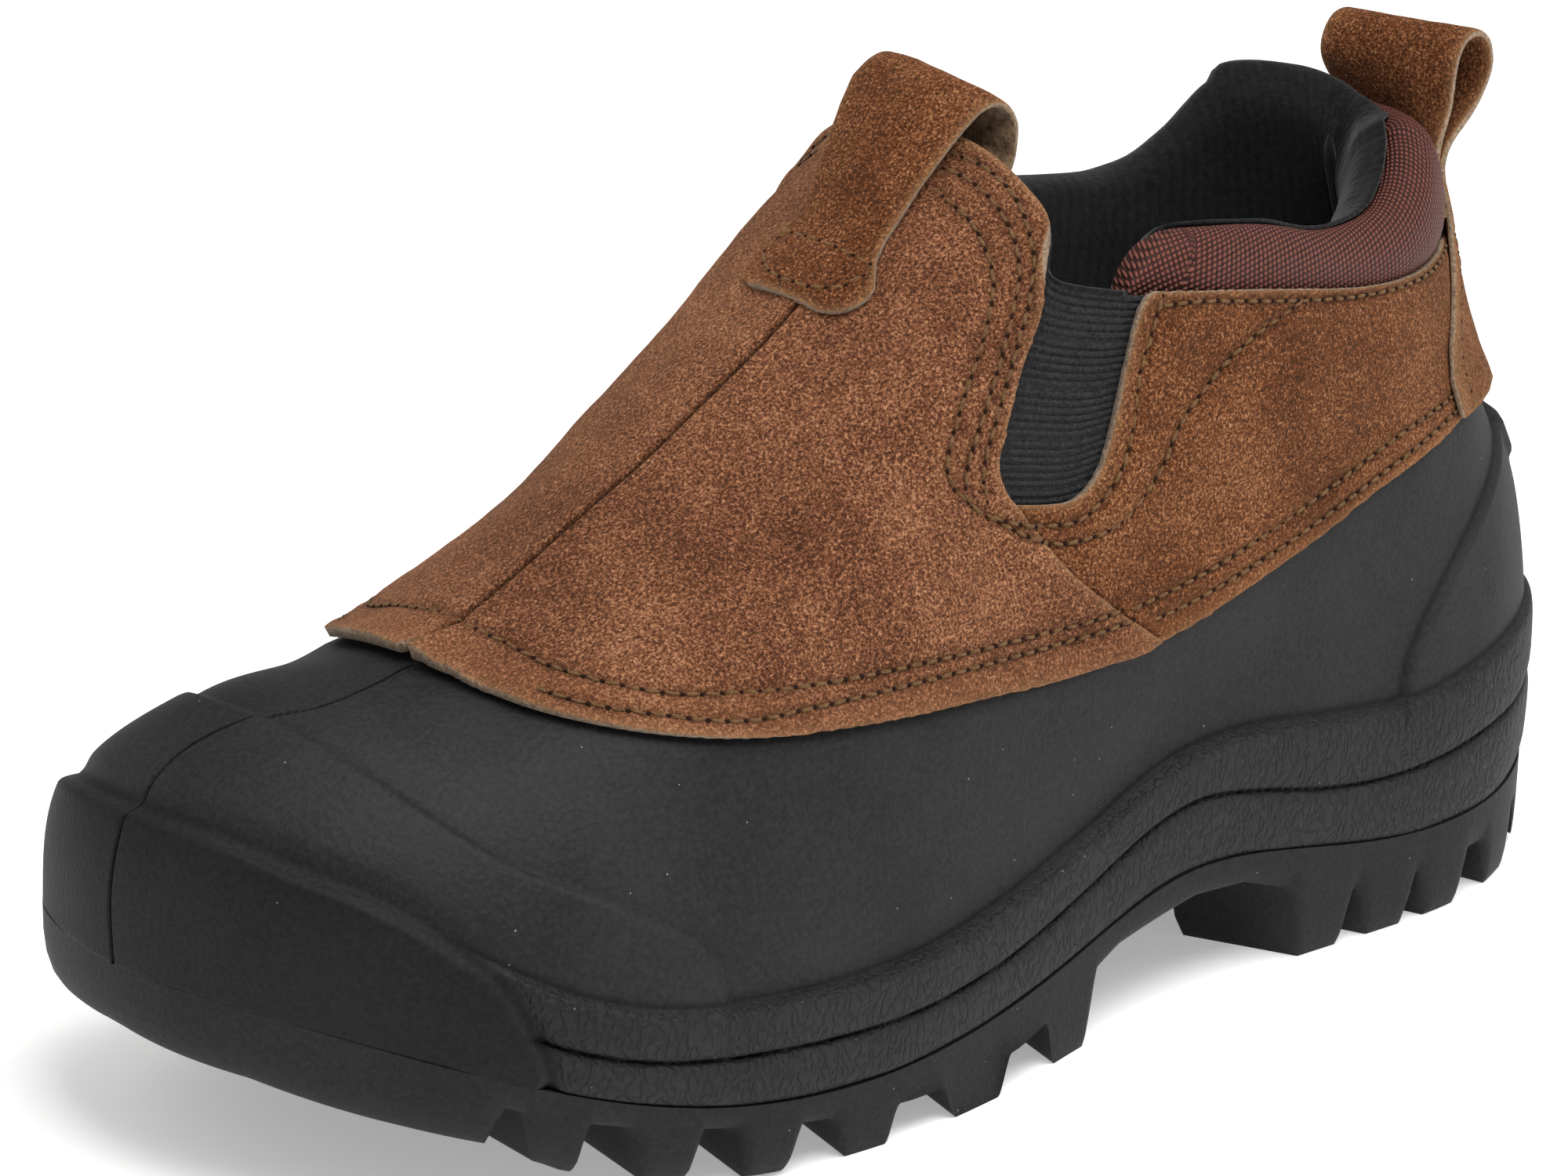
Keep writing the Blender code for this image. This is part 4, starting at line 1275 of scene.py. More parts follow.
@dataclass
class SuedeUpper:
    """Vamp and two quarters with raw cut edges; the vamp laps over the quarters below each elastic panel."""

    inner: float = 0.3
    outer: float = 2.1
    least: float = 0.9  # thickness of the suede where it is pressed
    press: float = 0.9  # how much lower a quarter lies under the vamp
    lap: float = 1.2
    lap_run: Span = (4.05, 9.0)  # distances from the lap's edge over which the vamp comes down
    lap_under: float = 0.6  # share of the lap that the vamp's inner face follows
    edge_round: float = 0.9
    edge_sink: float = 0.45
    edge_fade: float = 0.55  # distance over which the worn edge fades
    stitch_sink: Swell = Swell(0.5, 1.3)
    # stitch_shade and seam_shade: painted shade along the stitch rows and in the seam's cut
    stitch_shade: Swell = Swell(0.7, 0.9)
    seam_cut: Swell = Swell(1.0, 0.42)
    seam_shade: Swell = Swell(1.6, 0.42)
    seam_run: float = 4.0  # width of the seam's shoulders
    seam_shoulders: Span = (0.5, 0.25)  # their height on the medial and the lateral side
    hem_lift: Swell = Swell(1.5, 1.6, -0.5)  # by stations across the toe
    lift_levels: Span = (2.97, 3.14)
    hem_levels: Span = (0.08, 0.3)  # above the hem, where its warmer tone ends
    waves: Pairs = ((0.16, 17.0), (0.07, 6.0))  # height and size of the unevenness
    heel_edge: float = 9.9
    # points on long, middle and short edges of the cut panels
    edge_points: tuple[int, int, int] = (260, 160, 80)
    back_points: int = 200
    # grids: first, last and step of stations, then first, last and count of levels
    toe_columns: Pairs = ((-0.54, 0.05, 0.03), (0.06, 0.56, 0.009))
    side_columns: Triple = (0.56, 6.45, 0.04)
    vamp_rows: Pairs = ((2.94, 4.0, 56), (4.0, 5.0, 62))
    quarter_grid: Pairs = ((3.6, 9.95, 170), (2.98, 5.0, 92))
    # station round the boot, level of the seam along the vamp
    seam: Pairs = ((0.14, 2.95), (0.2, 3.16), (0.33, 3.8), (0.45, 4.43), (0.4, 5.0))
    # station from the toe, level
    top_edge: Pairs = (
        (0.0, 5.0), (1.45, 5.0), (2.4, 5.0), (3.1, 4.995), (3.5, 4.985), (3.76, 4.95), (3.88, 4.88),
        (3.90, 4.80), (3.87, 4.59), (3.97, 4.29), (4.06, 4.14), (4.2, 4.05), (4.42, 3.98))
    lap_edge: Pairs = ((4.42, 3.98), (5.12, 3.75), (5.91, 3.34), (6.27, 3.02))
    hem_edge: Pairs = (
        (6.27, 3.02), (6.15, 2.995), (5.0, 3.0), (3.0, 2.995), (1.5, 2.985), (0.5, 2.975), (0.0, 2.97))
    # station, lift of the hem
    hem_notch: Pairs = (
        (0.06, 0.0), (0.13, 0.06), (0.15, 0.06), (0.2, -0.012), (0.3, 0.006), (0.4, -0.004), (0.6, 0.005),
        (0.9, -0.003), (1.2, 0.0))
    # station from the toe, level
    under_edge: Pairs = ((5.7, 3.0), (5.3, 3.36), (4.55, 3.74), (3.95, 3.93))
    notch_edge: Pairs = (
        (3.95, 3.985), (4.5, 3.985), (5.0, 3.985), (5.40, 3.99), (5.62, 4.03), (5.78, 4.12), (5.83, 4.25),
        (5.81, 4.62), (5.77, 4.88), (5.80, 4.95), (5.90, 4.99), (6.05, 5.0))
    # path, width, height
    creases: tuple[Crease, ...] = (
        Crease(((0.26, 2.96), (0.27, 3.1)), 2.4, 0.9),
        Crease(((0.0, 2.96), (0.02, 3.08)), 2.6, -0.4),
        Crease(((2.9, 4.2), (3.8, 3.98), (4.6, 3.72)), 7.0, -0.9),
        Crease(((2.4, 4.0), (3.4, 3.75), (4.2, 3.5)), 8.0, 0.7),
        Crease(((-0.6, 3.95), (1.0, 3.95), (2.4, 3.8)), 10.0, -0.7),
        Crease(((-0.8, 4.36), (-0.3, 4.36), (0.2, 4.36)), 9.0, -0.5),
        Crease(((-1.6, 4.08), (-1.75, 4.25), (-1.95, 4.45), (-2.05, 4.64)), 13.0, 1.9),
        Crease(((6.7, 4.15), (7.6, 4.2), (8.4, 4.2)), 13.0, 0.9),
        Crease(((6.6, 4.72), (7.4, 4.68), (8.4, 4.72)), 6.0, -0.6),
        Crease(((11.6, 4.2), (12.4, 4.2), (13.3, 4.15)), 13.0, 0.9),
        Crease(((6.3, 3.6), (7.2, 3.62), (8.4, 3.75)), 7.0, -0.4),
    )

    def vamp_outline(self) -> Array:
        """Closed outline of the vamp in stations and levels."""
        long, middle, _ = self.edge_points
        half = np.vstack([curve_through(self.top_edge, long), curve_through(self.lap_edge, middle)[1:],
                          curve_through(self.hem_edge, long)[1:]])
        lateral = half.copy()
        low = half[:, 1] < AT_HEM
        lateral[low, 1] += by_station(self.hem_notch)(half[low, 0])
        return np.vstack([lateral, (half * (-1, 1))[::-1]])

    def quarter_outline(self, side: Side) -> Array:
        """Closed outline of one quarter in stations and levels."""
        long, middle, short = self.edge_points
        corner, foot = (self.heel_edge, float(AT_TOP)), (self.heel_edge, HEM_LINE[-1][1])
        back = np.linspace(self.heel_edge, self.under_edge[0][0], self.back_points)[1:-1]
        line = np.vstack([curve_through(self.under_edge, short), curve_through(self.notch_edge, long),
                          curve_through((self.notch_edge[-1], corner), middle)[1:],
                          curve_through((corner, foot), short)[1:],
                          np.stack([back, by_station(HEM_LINE)(back)], axis=1)])
        return np.stack([side.station(line[:, 0]), line[:, 1]], axis=1)

    def seam_path(self) -> tuple[Array, Array, Array]:
        """Stations, levels and points of the seam along the vamp."""
        u, level = curve_through(self.seam, DENSE).T
        return u, level, LAST.surface(u, level)

    def creased(self, points: Array) -> Array:
        """Offset that all the creases add at points of the last."""
        return sum(crease.shape(points) for crease in self.creases)

    def relief(self, points: Array, edge: Array, stitches: Array) -> Array:
        """Rounded edges, sunk stitch rows, creases and a slight unevenness.

        Args:
            points: Points of the last.
            edge: Their distance to the panel's edge.
            stitches: Their distance to the nearest row of stitches.

        Returns:
            Offset in mm.
        """
        out = -self.edge_sink * (1 - np.clip(edge / self.edge_round, 0, 1)) ** 2
        out = out - self.stitch_sink.over(stitches) + self.creased(points)
        for k, (height, size) in enumerate(self.waves, 1):
            out = out + height * soft_noise(points, size, SEED + k)
        return out

    def vamp_out(self, u: Array, level: Array) -> Array:
        """Outer offset of the vamp before its relief: higher over a quarter, lifted at the toe's hem."""
        to_lap = distance_to(LAST.surface(u, level), on_both_sides(self.lap_edge, self.edge_points[1]))
        lift = self.hem_lift.over(across_toe(u)) * (1 - ease(level, *self.lift_levels))
        return self.outer + self.lap * (1 - ease(to_lap, *self.lap_run)) + lift

    def vamp_face(self, u: Array, level: Array) -> Array:
        """Vamp with its closed seam: a cut between two soft shoulders, the medial one higher."""
        seam_u, seam_level, path = self.seam_path()
        to_seam = distance_to(LAST.surface(u, level), path)
        medial = u < np.interp(level, seam_level, seam_u)
        shoulder = np.where(medial, *self.seam_shoulders) * bell(to_seam, self.seam_run)
        return self.vamp_out(u, level) - self.seam_cut.over(to_seam) + shoulder

    def quarter_face(self, u: Array, level: Array) -> Array:
        """Quarter, pressed thinner where the vamp covers it."""
        return self.outer - self.press * inside(self.vamp_outline(), across_toe(u), level)

    def sewn_out(self, u: Array, level: Array) -> Array:
        """Height of whatever suede is on top, for the stitches."""
        on_vamp = inside(self.vamp_outline(), across_toe(u), np.asarray(level))
        height = np.where(on_vamp, self.vamp_out(u, level), self.outer)
        return height + self.creased(LAST.surface(u, level)) - self.stitch_sink.height

    def _panel(self, name: str, grid: tuple[Array, Array], outline: Array,
               face: Callable[[Array, Array], Array],
               materials: Sequence[Material]) -> Piece:
        """One cut panel with its thickness and raw edge.

        Args:
            name: The piece's name.
            grid: Stations of the columns and levels of the rows that the panel is cut from.
            outline: Closed outline in stations and levels.
            face: Outer offset of the panel, from stations and levels.
            materials: Of its face, its cut edge and its back.

        Returns:
            The piece.
        """
        uu, ll = (g.ravel() for g in np.meshgrid(*grid))
        border = LAST.surface(outline[:, 0], outline[:, 1])
        gap = distance_to(LAST.surface(uu, ll), border)
        u, level, faces = clip_grid(*grid, np.where(inside(outline, uu, ll), gap, -gap))
        points = LAST.surface(u, level)
        sewn = np.vstack([LAST.surface(*stations) for row in ROWS for stations in row.stations()])
        edge, to_row, to_seam = (distance_to(points, path) for path in (border, sewn, self.seam_path()[2]))
        base = face(u, level)
        out = base + self.relief(points, edge, to_row)
        low = np.minimum(self.inner + self.lap_under * (base - self.outer), out - self.least)
        above_hem = level - by_station(HEM_LINE)(from_toe(u))
        # a lighter tone at worn cut edges, painted shade along stitches and the seam, a warmer tone near the
        # hem
        values = {"edge": np.exp(-edge / self.edge_fade),
                  "sewn_shade": np.maximum(self.stitch_shade.over(to_row), self.seam_shade.over(to_seam)),
                  "hem": 1 - ease(above_hem, *self.hem_levels)}
        every, marks = two_sided(faces, len(u))
        mesh = MeshData(np.vstack([LAST.skin(u, level, out), LAST.skin(u, level, low)]), every, marks,
                        {key: np.tile(value, 2) for key, value in values.items()})
        return fit(mesh.to_object(name, materials), ["suede_upper"])

    def build(self, finishes: Finishes) -> list[Piece]:
        """Make the vamp and both quarters.

        Args:
            finishes: The finishes.

        Returns:
            The three pieces.
        """
        inside_out = [finishes.raw_edge, finishes.flesh_side]
        side = np.arange(*self.side_columns)
        us = np.concatenate([-side[::-1], *[np.arange(*span) for span in self.toe_columns], side])
        low, high = (np.linspace(*span) for span in self.vamp_rows)
        grid = us, np.concatenate([low[:-1], high])
        made = [self._panel("suede_vamp", grid, self.vamp_outline(), self.vamp_face,
                            [finishes.vamp_suede, *inside_out])]
        columns, rows = (np.linspace(*span) for span in self.quarter_grid)
        for of_foot in Side:
            grid = np.sort(of_foot.station(columns)), rows
            made.append(self._panel(f"suede_quarter_{of_foot.value}", grid, self.quarter_outline(of_foot),
                                    self.quarter_face, [finishes.suede, *inside_out]))
        return made


# Nodes that repeat a shape along a path

@dataclass
class PathTree:
    """A geometry tree that turns paths into a piece, with named inputs."""

    name: str
    inputs: Sequence[tuple[str, str]]  # name and kind of each socket
    tree: bpy.types.NodeTree = field(init=False)
    given: bpy.types.Node = field(init=False)
    keys: dict[str, str] = field(init=False)  # identifier of each input

    def __post_init__(self) -> None:
        """Make the tree with its sockets."""
        self.tree = bpy.data.node_groups.new(self.name, "GeometryNodeTree")
        sockets = self.tree.interface
        for way in ("OUTPUT", "INPUT"):
            sockets.new_socket(name="Geometry", in_out=way, socket_type="NodeSocketGeometry")
        self.keys = {}
        for label, kind in self.inputs:
            made = sockets.new_socket(name=label, in_out="INPUT", socket_type=f"NodeSocket{kind}")
            self.keys[label] = made.identifier
        self.given = add_node(self.tree, "NodeGroupInput")

    def add(self, kind: str, inputs: dict | None = None, settings: dict | None = None) -> Socket:
        """Add a node and give its first output."""
        return add_node(self.tree, kind, inputs, settings).outputs[0]

    def want(self, label: str) -> Socket:
        """One of the tree's inputs."""
        return self.given.outputs[label]

    def finish(self, shape: Socket) -> PathTree:
        """Give the shape its material and end the tree."""
        dressed = self.add("GeometryNodeSetMaterial", {"Geometry": shape, "Material": self.want("Material")})
        add_node(self.tree, "NodeGroupOutput", {0: dressed})
        return self

    def run(self, name: str, paths: Sequence[tuple[Array, Array]],
            values: dict[str, object]) -> Piece:
        """Run the tree on open chains of edges and keep the result as a plain mesh.

        Args:
            name: The piece's name.
            paths: Points in mm and the surface's normals of each chain.
            values: Value of each input.

        Returns:
            The piece, without the modifier.
        """
        edges, first = [], 0
        for points, _ in paths:
            edges += [(first + k, first + k + 1) for k in range(len(points) - 1)]
            first += len(points)
        mesh = bpy.data.meshes.new(name)
        mesh.from_pydata(((np.vstack([p for p, _ in paths]) + PLACE) * MM).tolist(), edges, [])
        layer = mesh.attributes.new("out", "FLOAT_VECTOR", "POINT")
        layer.data.foreach_set("vector", np.vstack([n for _, n in paths]).astype(np.float32).ravel())
        made = in_scene(name, mesh)
        modifier = made.modifiers.new(self.name, "NODES")
        modifier.node_group = self.tree
        for label, value in values.items():
            modifier[self.keys[label]] = value
        graph = bpy.context.evaluated_depsgraph_get()
        result = bpy.data.meshes.new_from_object(made.evaluated_get(graph), preserve_all_data_layers=True,
                                                 depsgraph=graph)
        made.modifiers.clear()
        made.data = result
        return made


def stitch_tree() -> PathTree:
    """A tree that lays one small rounded shape along each path at an even spacing."""
    made = PathTree("stitch_row", (("Spacing", "Float"), ("Size", "Vector"), ("Shift", "Float"),
                                   ("Jitter", "Float"), ("Seed", "Int"), ("Material", "Material")))
    curve = made.add("GeometryNodeMeshToCurve", {"Mesh": made.want("Geometry")})
    even = made.add("GeometryNodeResampleCurve", {"Curve": curve, "Length": made.want("Spacing")},
                    {"mode": "LENGTH"})
    tangent = made.add("GeometryNodeInputTangent")
    ahead = made.add("ShaderNodeVectorMath", {0: tangent, "Scale": made.want("Shift")},
                     {"operation": "SCALE"})
    moved = made.add("GeometryNodeSetPosition", {"Geometry": even, "Offset": ahead})
    chance = made.add("FunctionNodeRandomValue", {0: (-1.0,) * 3, 1: (1.0,) * 3, "Seed": made.want("Seed")},
                      {"data_type": "FLOAT_VECTOR"})
    sway = made.add("ShaderNodeVectorMath", {0: chance, "Scale": made.want("Jitter")}, {"operation": "SCALE"})
    aim = made.add("ShaderNodeVectorMath", {0: tangent, 1: sway}, {"operation": "ADD"})
    normal = made.add("GeometryNodeInputNamedAttribute", {"Name": "out"}, {"data_type": "FLOAT_VECTOR"})
    upright = made.add("FunctionNodeAlignRotationToVector", {"Vector": normal}, {"axis": "Z"})
    turned = made.add("FunctionNodeAlignRotationToVector", {"Rotation": upright, "Vector": aim},
                      {"axis": "X", "pivot_axis": "Z"})
    ball = made.add("GeometryNodeMeshUVSphere", {"Segments": 6, "Rings": 4, "Radius": 0.5})
    grain = made.add("GeometryNodeTransform", {"Geometry": ball, "Scale": made.want("Size")})
    copies = made.add("GeometryNodeInstanceOnPoints",
                      {"Points": moved, "Instance": grain, "Rotation": turned})
    real = made.add("GeometryNodeRealizeInstances", {0: copies})
    return made.finish(made.add("GeometryNodeSetShadeSmooth", {0: real}))


def rib_tree() -> PathTree:
    """A tree that sweeps a round rib along each path."""
    made = PathTree("elastic_ribs", (("Radius", "Float"), ("Material", "Material")))
    curve = made.add("GeometryNodeMeshToCurve", {"Mesh": made.want("Geometry")})
    ring = made.add("GeometryNodeCurvePrimitiveCircle", {"Resolution": 6, "Radius": made.want("Radius")})
    swept = made.add("GeometryNodeCurveToMesh", {"Curve": curve, "Profile Curve": ring, "Fill Caps": True})
    return made.finish(made.add("GeometryNodeRealizeInstances", {0: swept}))


@dataclass
class Stitching:
    """Thread of every row on the upper and the straps, with dark blobs of painted shadow in its needle holes.
    """

    spacing: float = 3.3
    thread: Triple = (2.7, 0.75, 0.7)
    # size of the dark blob of painted shadow in each needle hole
    hole: Triple = (1.0, 0.8, 0.5)
    sway: float = 0.12  # how far a stitch may turn off its row
    sink: float = 0.12

    def build(self, upper: SuedeUpper, extra: Sequence[tuple[Array, Array]],
              finishes: Finishes) -> list[Piece]:
        """Sew every row.

        Args:
            upper: The upper, which says how high the suede lies.
            extra: Points and normals of rows on the straps.
            finishes: The finishes.

        Returns:
            Thread and the painted shadows of the holes.
        """
        paths = list(extra)
        for row in ROWS:
            LOG.info("row of stitches: %s", row.name)
            for u, level in row.stations():
                height = upper.sewn_out(u, level) + self.sink
                paths.append((LAST.skin(u, level, height), LAST.normals(u, level)))
        tree = stitch_tree()
        made = []
        for name, size, shift, jitter, material in (
                ("sewing_thread", self.thread, 0.0, self.sway, finishes.thread),
                ("needle_hole_shadows", self.hole, self.spacing / 2, 0.0, finishes.needle_hole)):
            piece = tree.run(name, paths, {
                "Spacing": self.spacing * MM, "Size": [s * MM for s in size], "Shift": shift * MM,
                "Jitter": jitter, "Seed": SEED, "Material": material})
            made.append(fit(piece, []))
        return made


@dataclass
class ElasticGore:
    """Ribbed elastic panel behind the notch on one side."""

    side: Side
    span: Span = (3.66, 6.28)
    levels: Span = (3.84, 4.965)
    outer: float = -0.35
    inner: float = -1.7
    columns: int = 46
    rows: int = 44
    rib_pitch: float = 1.35
    rib_radius: float = 0.6
    rib_sink: float = 0.2
    ends: Span = (0.5, 0.3)  # room below the last rib and above the first
    group: int = 6  # ribs between two deeper grooves
    group_gap: float = 0.55
    measured_at: float = 5.0  # station where the ribs are spaced
    measured_points: int = 200

    def build(self, finishes: Finishes) -> list[Piece]:
        """Make the backing sheet and its ribs.

        Args:
            finishes: The finishes.

        Returns:
            Both pieces.
        """
        us = np.sort(self.side.station(np.linspace(*self.span, self.columns)))
        u, level = (g.ravel() for g in np.meshgrid(us, np.linspace(*self.levels, self.rows)))
        faces, _ = two_sided(grid_quads(self.rows, self.columns), len(u))
        points = np.vstack([LAST.skin(u, level, out) for out in (self.outer, self.inner)])
        sheet = MeshData(points, faces).to_object(f"elastic_{self.side.value}", [finishes.elastic])
        fit(sheet, [f"gore_{self.side.value}"])
        column = np.linspace(*self.levels, self.measured_points)
        run = run_lengths(LAST.surface(self.measured_at, column))
        below, above = self.ends
        paths, at = [], run[-1] - above
        while at > below:
            row = np.full(len(us), np.interp(at, run, column))
            paths.append((LAST.skin(us, row, self.outer - self.rib_sink), LAST.normals(us, row)))
            at -= self.rib_pitch + (0.0 if len(paths) % self.group else self.group_gap)
        ribs = rib_tree().run(f"elastic_ribs_{self.side.value}", paths, {
            "Radius": self.rib_radius * MM, "Material": finishes.elastic})
        return [sheet, fit(ribs, [f"gore_{self.side.value}"])]


# Collar and straps

def smooth_ring(points: Array, count: int, rounds: int, closed: bool) -> Array:
    """Resample a chain of points evenly and soften its corners.

    Args:
        points: The chain, one point a row.
        count: How many points to return.
        rounds: How often each point is drawn to its neighbours.
        closed: Whether the chain is a ring.

    Returns:
        The softened chain.
    """
    chain = np.vstack([points, points[:1]]) if closed else points
    run = run_lengths(chain, 1e-9)
    at = np.linspace(0, run[-1], count, endpoint=not closed)
    made = np.stack([np.interp(at, run, chain[:, k]) for k in range(3)], axis=1)
    for _ in range(rounds):
        before, after = np.roll(made, 1, axis=0), np.roll(made, -1, axis=0)
        soft = 0.25 * before + 0.5 * made + 0.25 * after
        if not closed:
            soft[0], soft[-1] = made[0], made[-1]
        made = soft
    return made


@dataclass
class PaddedCollar:
    """Padded roll of woven textile behind and beside the ankle, with the fleece lining that wraps over it."""

    span: Span = (5.72, 13.70)
    nose: float = 0.6  # stations over which the roll's ends are rounded off
    blunt: float = 0.03  # share of the roll that is left at its very ends
    inset: float = 2.4  # how far the front ends sit inside the elastic
    inset_from: float = 5.4
    inset_stations: Span = (6.0, 6.6)
    back: float = 0.6
    back_pull: float = 1.3  # room for the strap at the heel
    back_flat: float = 0.9  # how far inside the last the roll lies there
    back_lining: float = 0.5
    bulge: float = 1.9  # how much fuller the roll is beside the heel
    bulge_stations: Span = (7.6, 8.9)
    bulge_depth: float = -4.0  # lines of a section further in than this stay
    outer_depth: float = -1.0  # lines further in than this belong to the inner side
    below_top: Span = (0.25, 0.02)  # levels below the topline for the rise and the normal there
    drop_levels: Pairs = ((0.0, 24.0), (5.0, 3.75))  # drops below the topline in mm, their levels
    lateral: Pairs = (
        (5.72, 8.0), (6.0, 10.0), (6.3, 11.0), (7.0, 11.0), (7.6, 10.0), (8.2, 11.5), (8.7, 15.5),
        (9.0, 20.0), (9.2, 23.0), (9.5, 26.0), (10.0, 26.8))
    medial: Pairs = (
        (6.30, 3.5), (7.35, 5.5), (7.8, 8.5), (8.2, 15.0), (8.6, 23.5), (9.0, 28.0), (9.4, 28.6),
        (10.0, 26.8))
    # out from the last, share of the height above the topline, drop below it
    section: Pairs = (
        (-0.3, 0.0, 20.0), (-0.4, 0.0, 1.0), (0.6, 0.15, 0.0), (1.3, 0.5, 0.0), (0.2, 0.85, 0.0),
        (-3.6, 1.0, 0.0), (-7.6, 0.90, 0.0), (-9.6, 0.5, 0.0), (-9.8, 0.0, 2.0), (-8.6, 0.0, 16.0),
        (-4.5, 0.0, 22.0))
    fleece: Pairs = (
        (-5.6, 1.02, 0.0), (-8.4, 0.93, 0.0), (-10.6, 0.5, 0.0), (-10.8, 0.0, 2.0), (-9.8, 0.0, 14.0),
        (-6.4, 0.0, 23.0))
    wrapped: Pairs = (
        (0.5, 0.86, 0.0), (-3.6, 1.1, 0.0), (-9.4, 0.86, 0.0), (-10.8, 0.0, 2.0), (-9.8, 0.0, 14.0),
        (-6.4, 0.0, 23.0))
    throat: Pairs = (
        (-0.2, 0.0, 0.15), (-1.3, 0.0, 0.6), (-2.4, 0.0, 3.0), (-2.5, 0.0, 8.0), (-2.6, 0.0, 15.0),
        (-2.8, 0.0, 24.0))
    depths: Pairs = ((3.45, -3.3), (2.8, -3.3), (2.0, -3.4), (1.2, -3.4), (0.45, -3.4))
    pad: float = 5.5  # how much thicker the lined roll is beside the outer heel
    pad_shares: tuple[float, ...] = (0.1, 0.55, 1.0, 1.0, 0.6, 0.15)
    pad_stations: Pairs = ((7.7, 8.8), (10.0, 11.6))  # where it starts and ends
    # roll's mesh: length, count and crowding of the columns at each end, columns between, points round it
    end_columns: tuple[float, int, float] = (0.45, 14, 1.3)
    middle_columns: int = 170
    ring: int = 64
    ring_front: int = 19  # ring point in the middle of the outer face
    ring_rounds: int = 4
    slant: float = 0.7  # how far the weave is drawn over the top
    # lining: stations over which it climbs on to the roll and wraps over it, on each side
    climb: Pairs = ((-0.12, 0.5), (-0.3, 0.1))
    wrap: Pairs = ((9.3, 10.0), (6.6, 7.6))
    wrap_short: float = 0.6  # share of the wrap that the medial front lacks
    lining_step: float = 0.05
    lining_rows: int = 72
    lining_rounds: int = 2
    row_gap: float = 1.4  # mm between two rows on the lining's UV map
    pile: float = 0.7
    uneven: Span = (0.25, 14.0)  # height and size of the fleece's waves
    uneven_axes: Triple = (0.0, 0.6, 0.6)

    def _height(self, u: Array) -> Array:
        """Height of the roll above the topline."""
        h = from_toe(u)
        lateral, medial = (smooth_by_station(table) for table in (self.lateral, self.medial))
        return np.where(u <= HALF, lateral(h), medial(h))

    def _first(self, u: Array) -> Array:
        """Station from the toe where the roll starts, on the side of each station."""
        return np.where(u <= HALF, self.span[0], ROUND - self.span[1])

    def _points(self, u: Array, row: Sequence[float], grow: Array) -> Array:
        """Points of one line of a section.

        Args:
            u: Stations.
            row: Offset from the last, share of the height above the topline and drop below it.
            grow: Share of the full roll at each station.

        Returns:
            One point a station.
        """
        off, share, drop = row
        h = from_toe(u)
        back = np.clip(1 - (HALF - h) / self.back, 0.0, 1.0)
        outer, raised = off > self.outer_depth, share > 0
        full = off + self.bulge * ease(h, *self.bulge_stations) * raised * (off > self.bulge_depth)
        if outer:
            pulled = full - (full + self.back_flat) * back * raised - self.back_pull * back
        else:
            pulled = full - self.back_lining * back
            pulled = self.outer_depth + (pulled - self.outer_depth) * grow
        pulled = pulled - self.inset * (1 - ease(h, *self.inset_stations)) * (h > self.inset_from)
        if drop > 0:
            return LAST.skin(u, np.interp(drop, *self.drop_levels), pulled)
        rise_from, normal_at = (AT_TOP - down for down in self.below_top)
        top = LAST.surface(u, AT_TOP)
        rise = top - LAST.surface(u, rise_from)
        rise /= np.linalg.norm(rise, axis=1, keepdims=True)
        lift = (share * self._height(u) * grow)[:, None]
        return top + LAST.normals(u, normal_at) * pulled[:, None] + rise * lift

    def _grow(self, u: Array) -> Array:
        """Share of the full roll, rounded off at both ends."""
        inward = np.clip((from_toe(u) - self._first(u)) / self.nose, 0.0, 1.0)
        return np.sqrt(np.maximum(1 - (1 - inward) ** 2, 0.0)) * (1 - self.blunt) + self.blunt

    def _weave_uv(self, us: Array, tube: Array) -> Array:
        """UVs of the roll in mm along and round it, carried straight over its front nose.

        Args:
            us: Stations of the tube's rings.
            tube: Points of the tube, ring by ring.

        Returns:
            One pair a point.
        """
        front, last = self.ring_front, self.ring - 1
        along = run_lengths(tube[:, front])
        girth = np.linalg.norm(np.diff(tube, axis=1), axis=2).sum(axis=1)
        around = (np.arange(self.ring) - front)[None, :] * girth[:, None] / last
        out = LAST.normals(us, AT_TOP) * (1, 1, 0)
        out /= np.linalg.norm(out, axis=1, keepdims=True)
        full = int(np.searchsorted(us, self.span[0] + self.nose))
        out[:full] = out[full]
        apart = tube - tube[np.maximum(np.arange(len(us)), full), front][:, None]
        across = along[:, None] + self.slant * np.einsum("ijk,ik->ij", apart, out)
        ahead = np.cross(out[full], (0, 0, 1))
        across[:full] += (along[full] - along[:full])[:, None] - apart[:full] @ ahead
        top = int(np.argmax(tube[full, :, 2]))
        around[:full] = np.interp(apart[:full, :, 2], apart[full, :top + 1, 2], around[full, :top + 1])
        return np.stack([across.ravel(), around.ravel()], axis=1)

    def build_roll(self, finishes: Finishes) -> Piece:
        """Make the woven roll as one closed, crowned tube."""
        length, count, crowding = self.end_columns
        ends = np.linspace(0.0, length, count) ** crowding
        first, final = self.span
        middle = np.linspace(first + length, final - length, self.middle_columns)
        us = np.unique(np.concatenate([first + ends, middle, final - ends]))
        grow = self._grow(us)
        lines = np.stack([self._points(us, row, grow) for row in self.section], axis=1)
        tube = np.stack([smooth_ring(section, self.ring, self.ring_rounds, True) for section in lines])
        faces = grid_quads(len(us), self.ring, True)
        last = (len(us) - 1) * self.ring
        faces.append(tuple(range(self.ring - 1, -1, -1)))
        faces.append(tuple(last + k for k in range(self.ring)))
        mesh = MeshData(tube.reshape(-1, 3), faces, uv=self._weave_uv(us, tube))
        made = mesh.to_object("padded_collar_roll", [finishes.weave])
        face_outwards(made)
        return fit(made, ["padded_collar"])

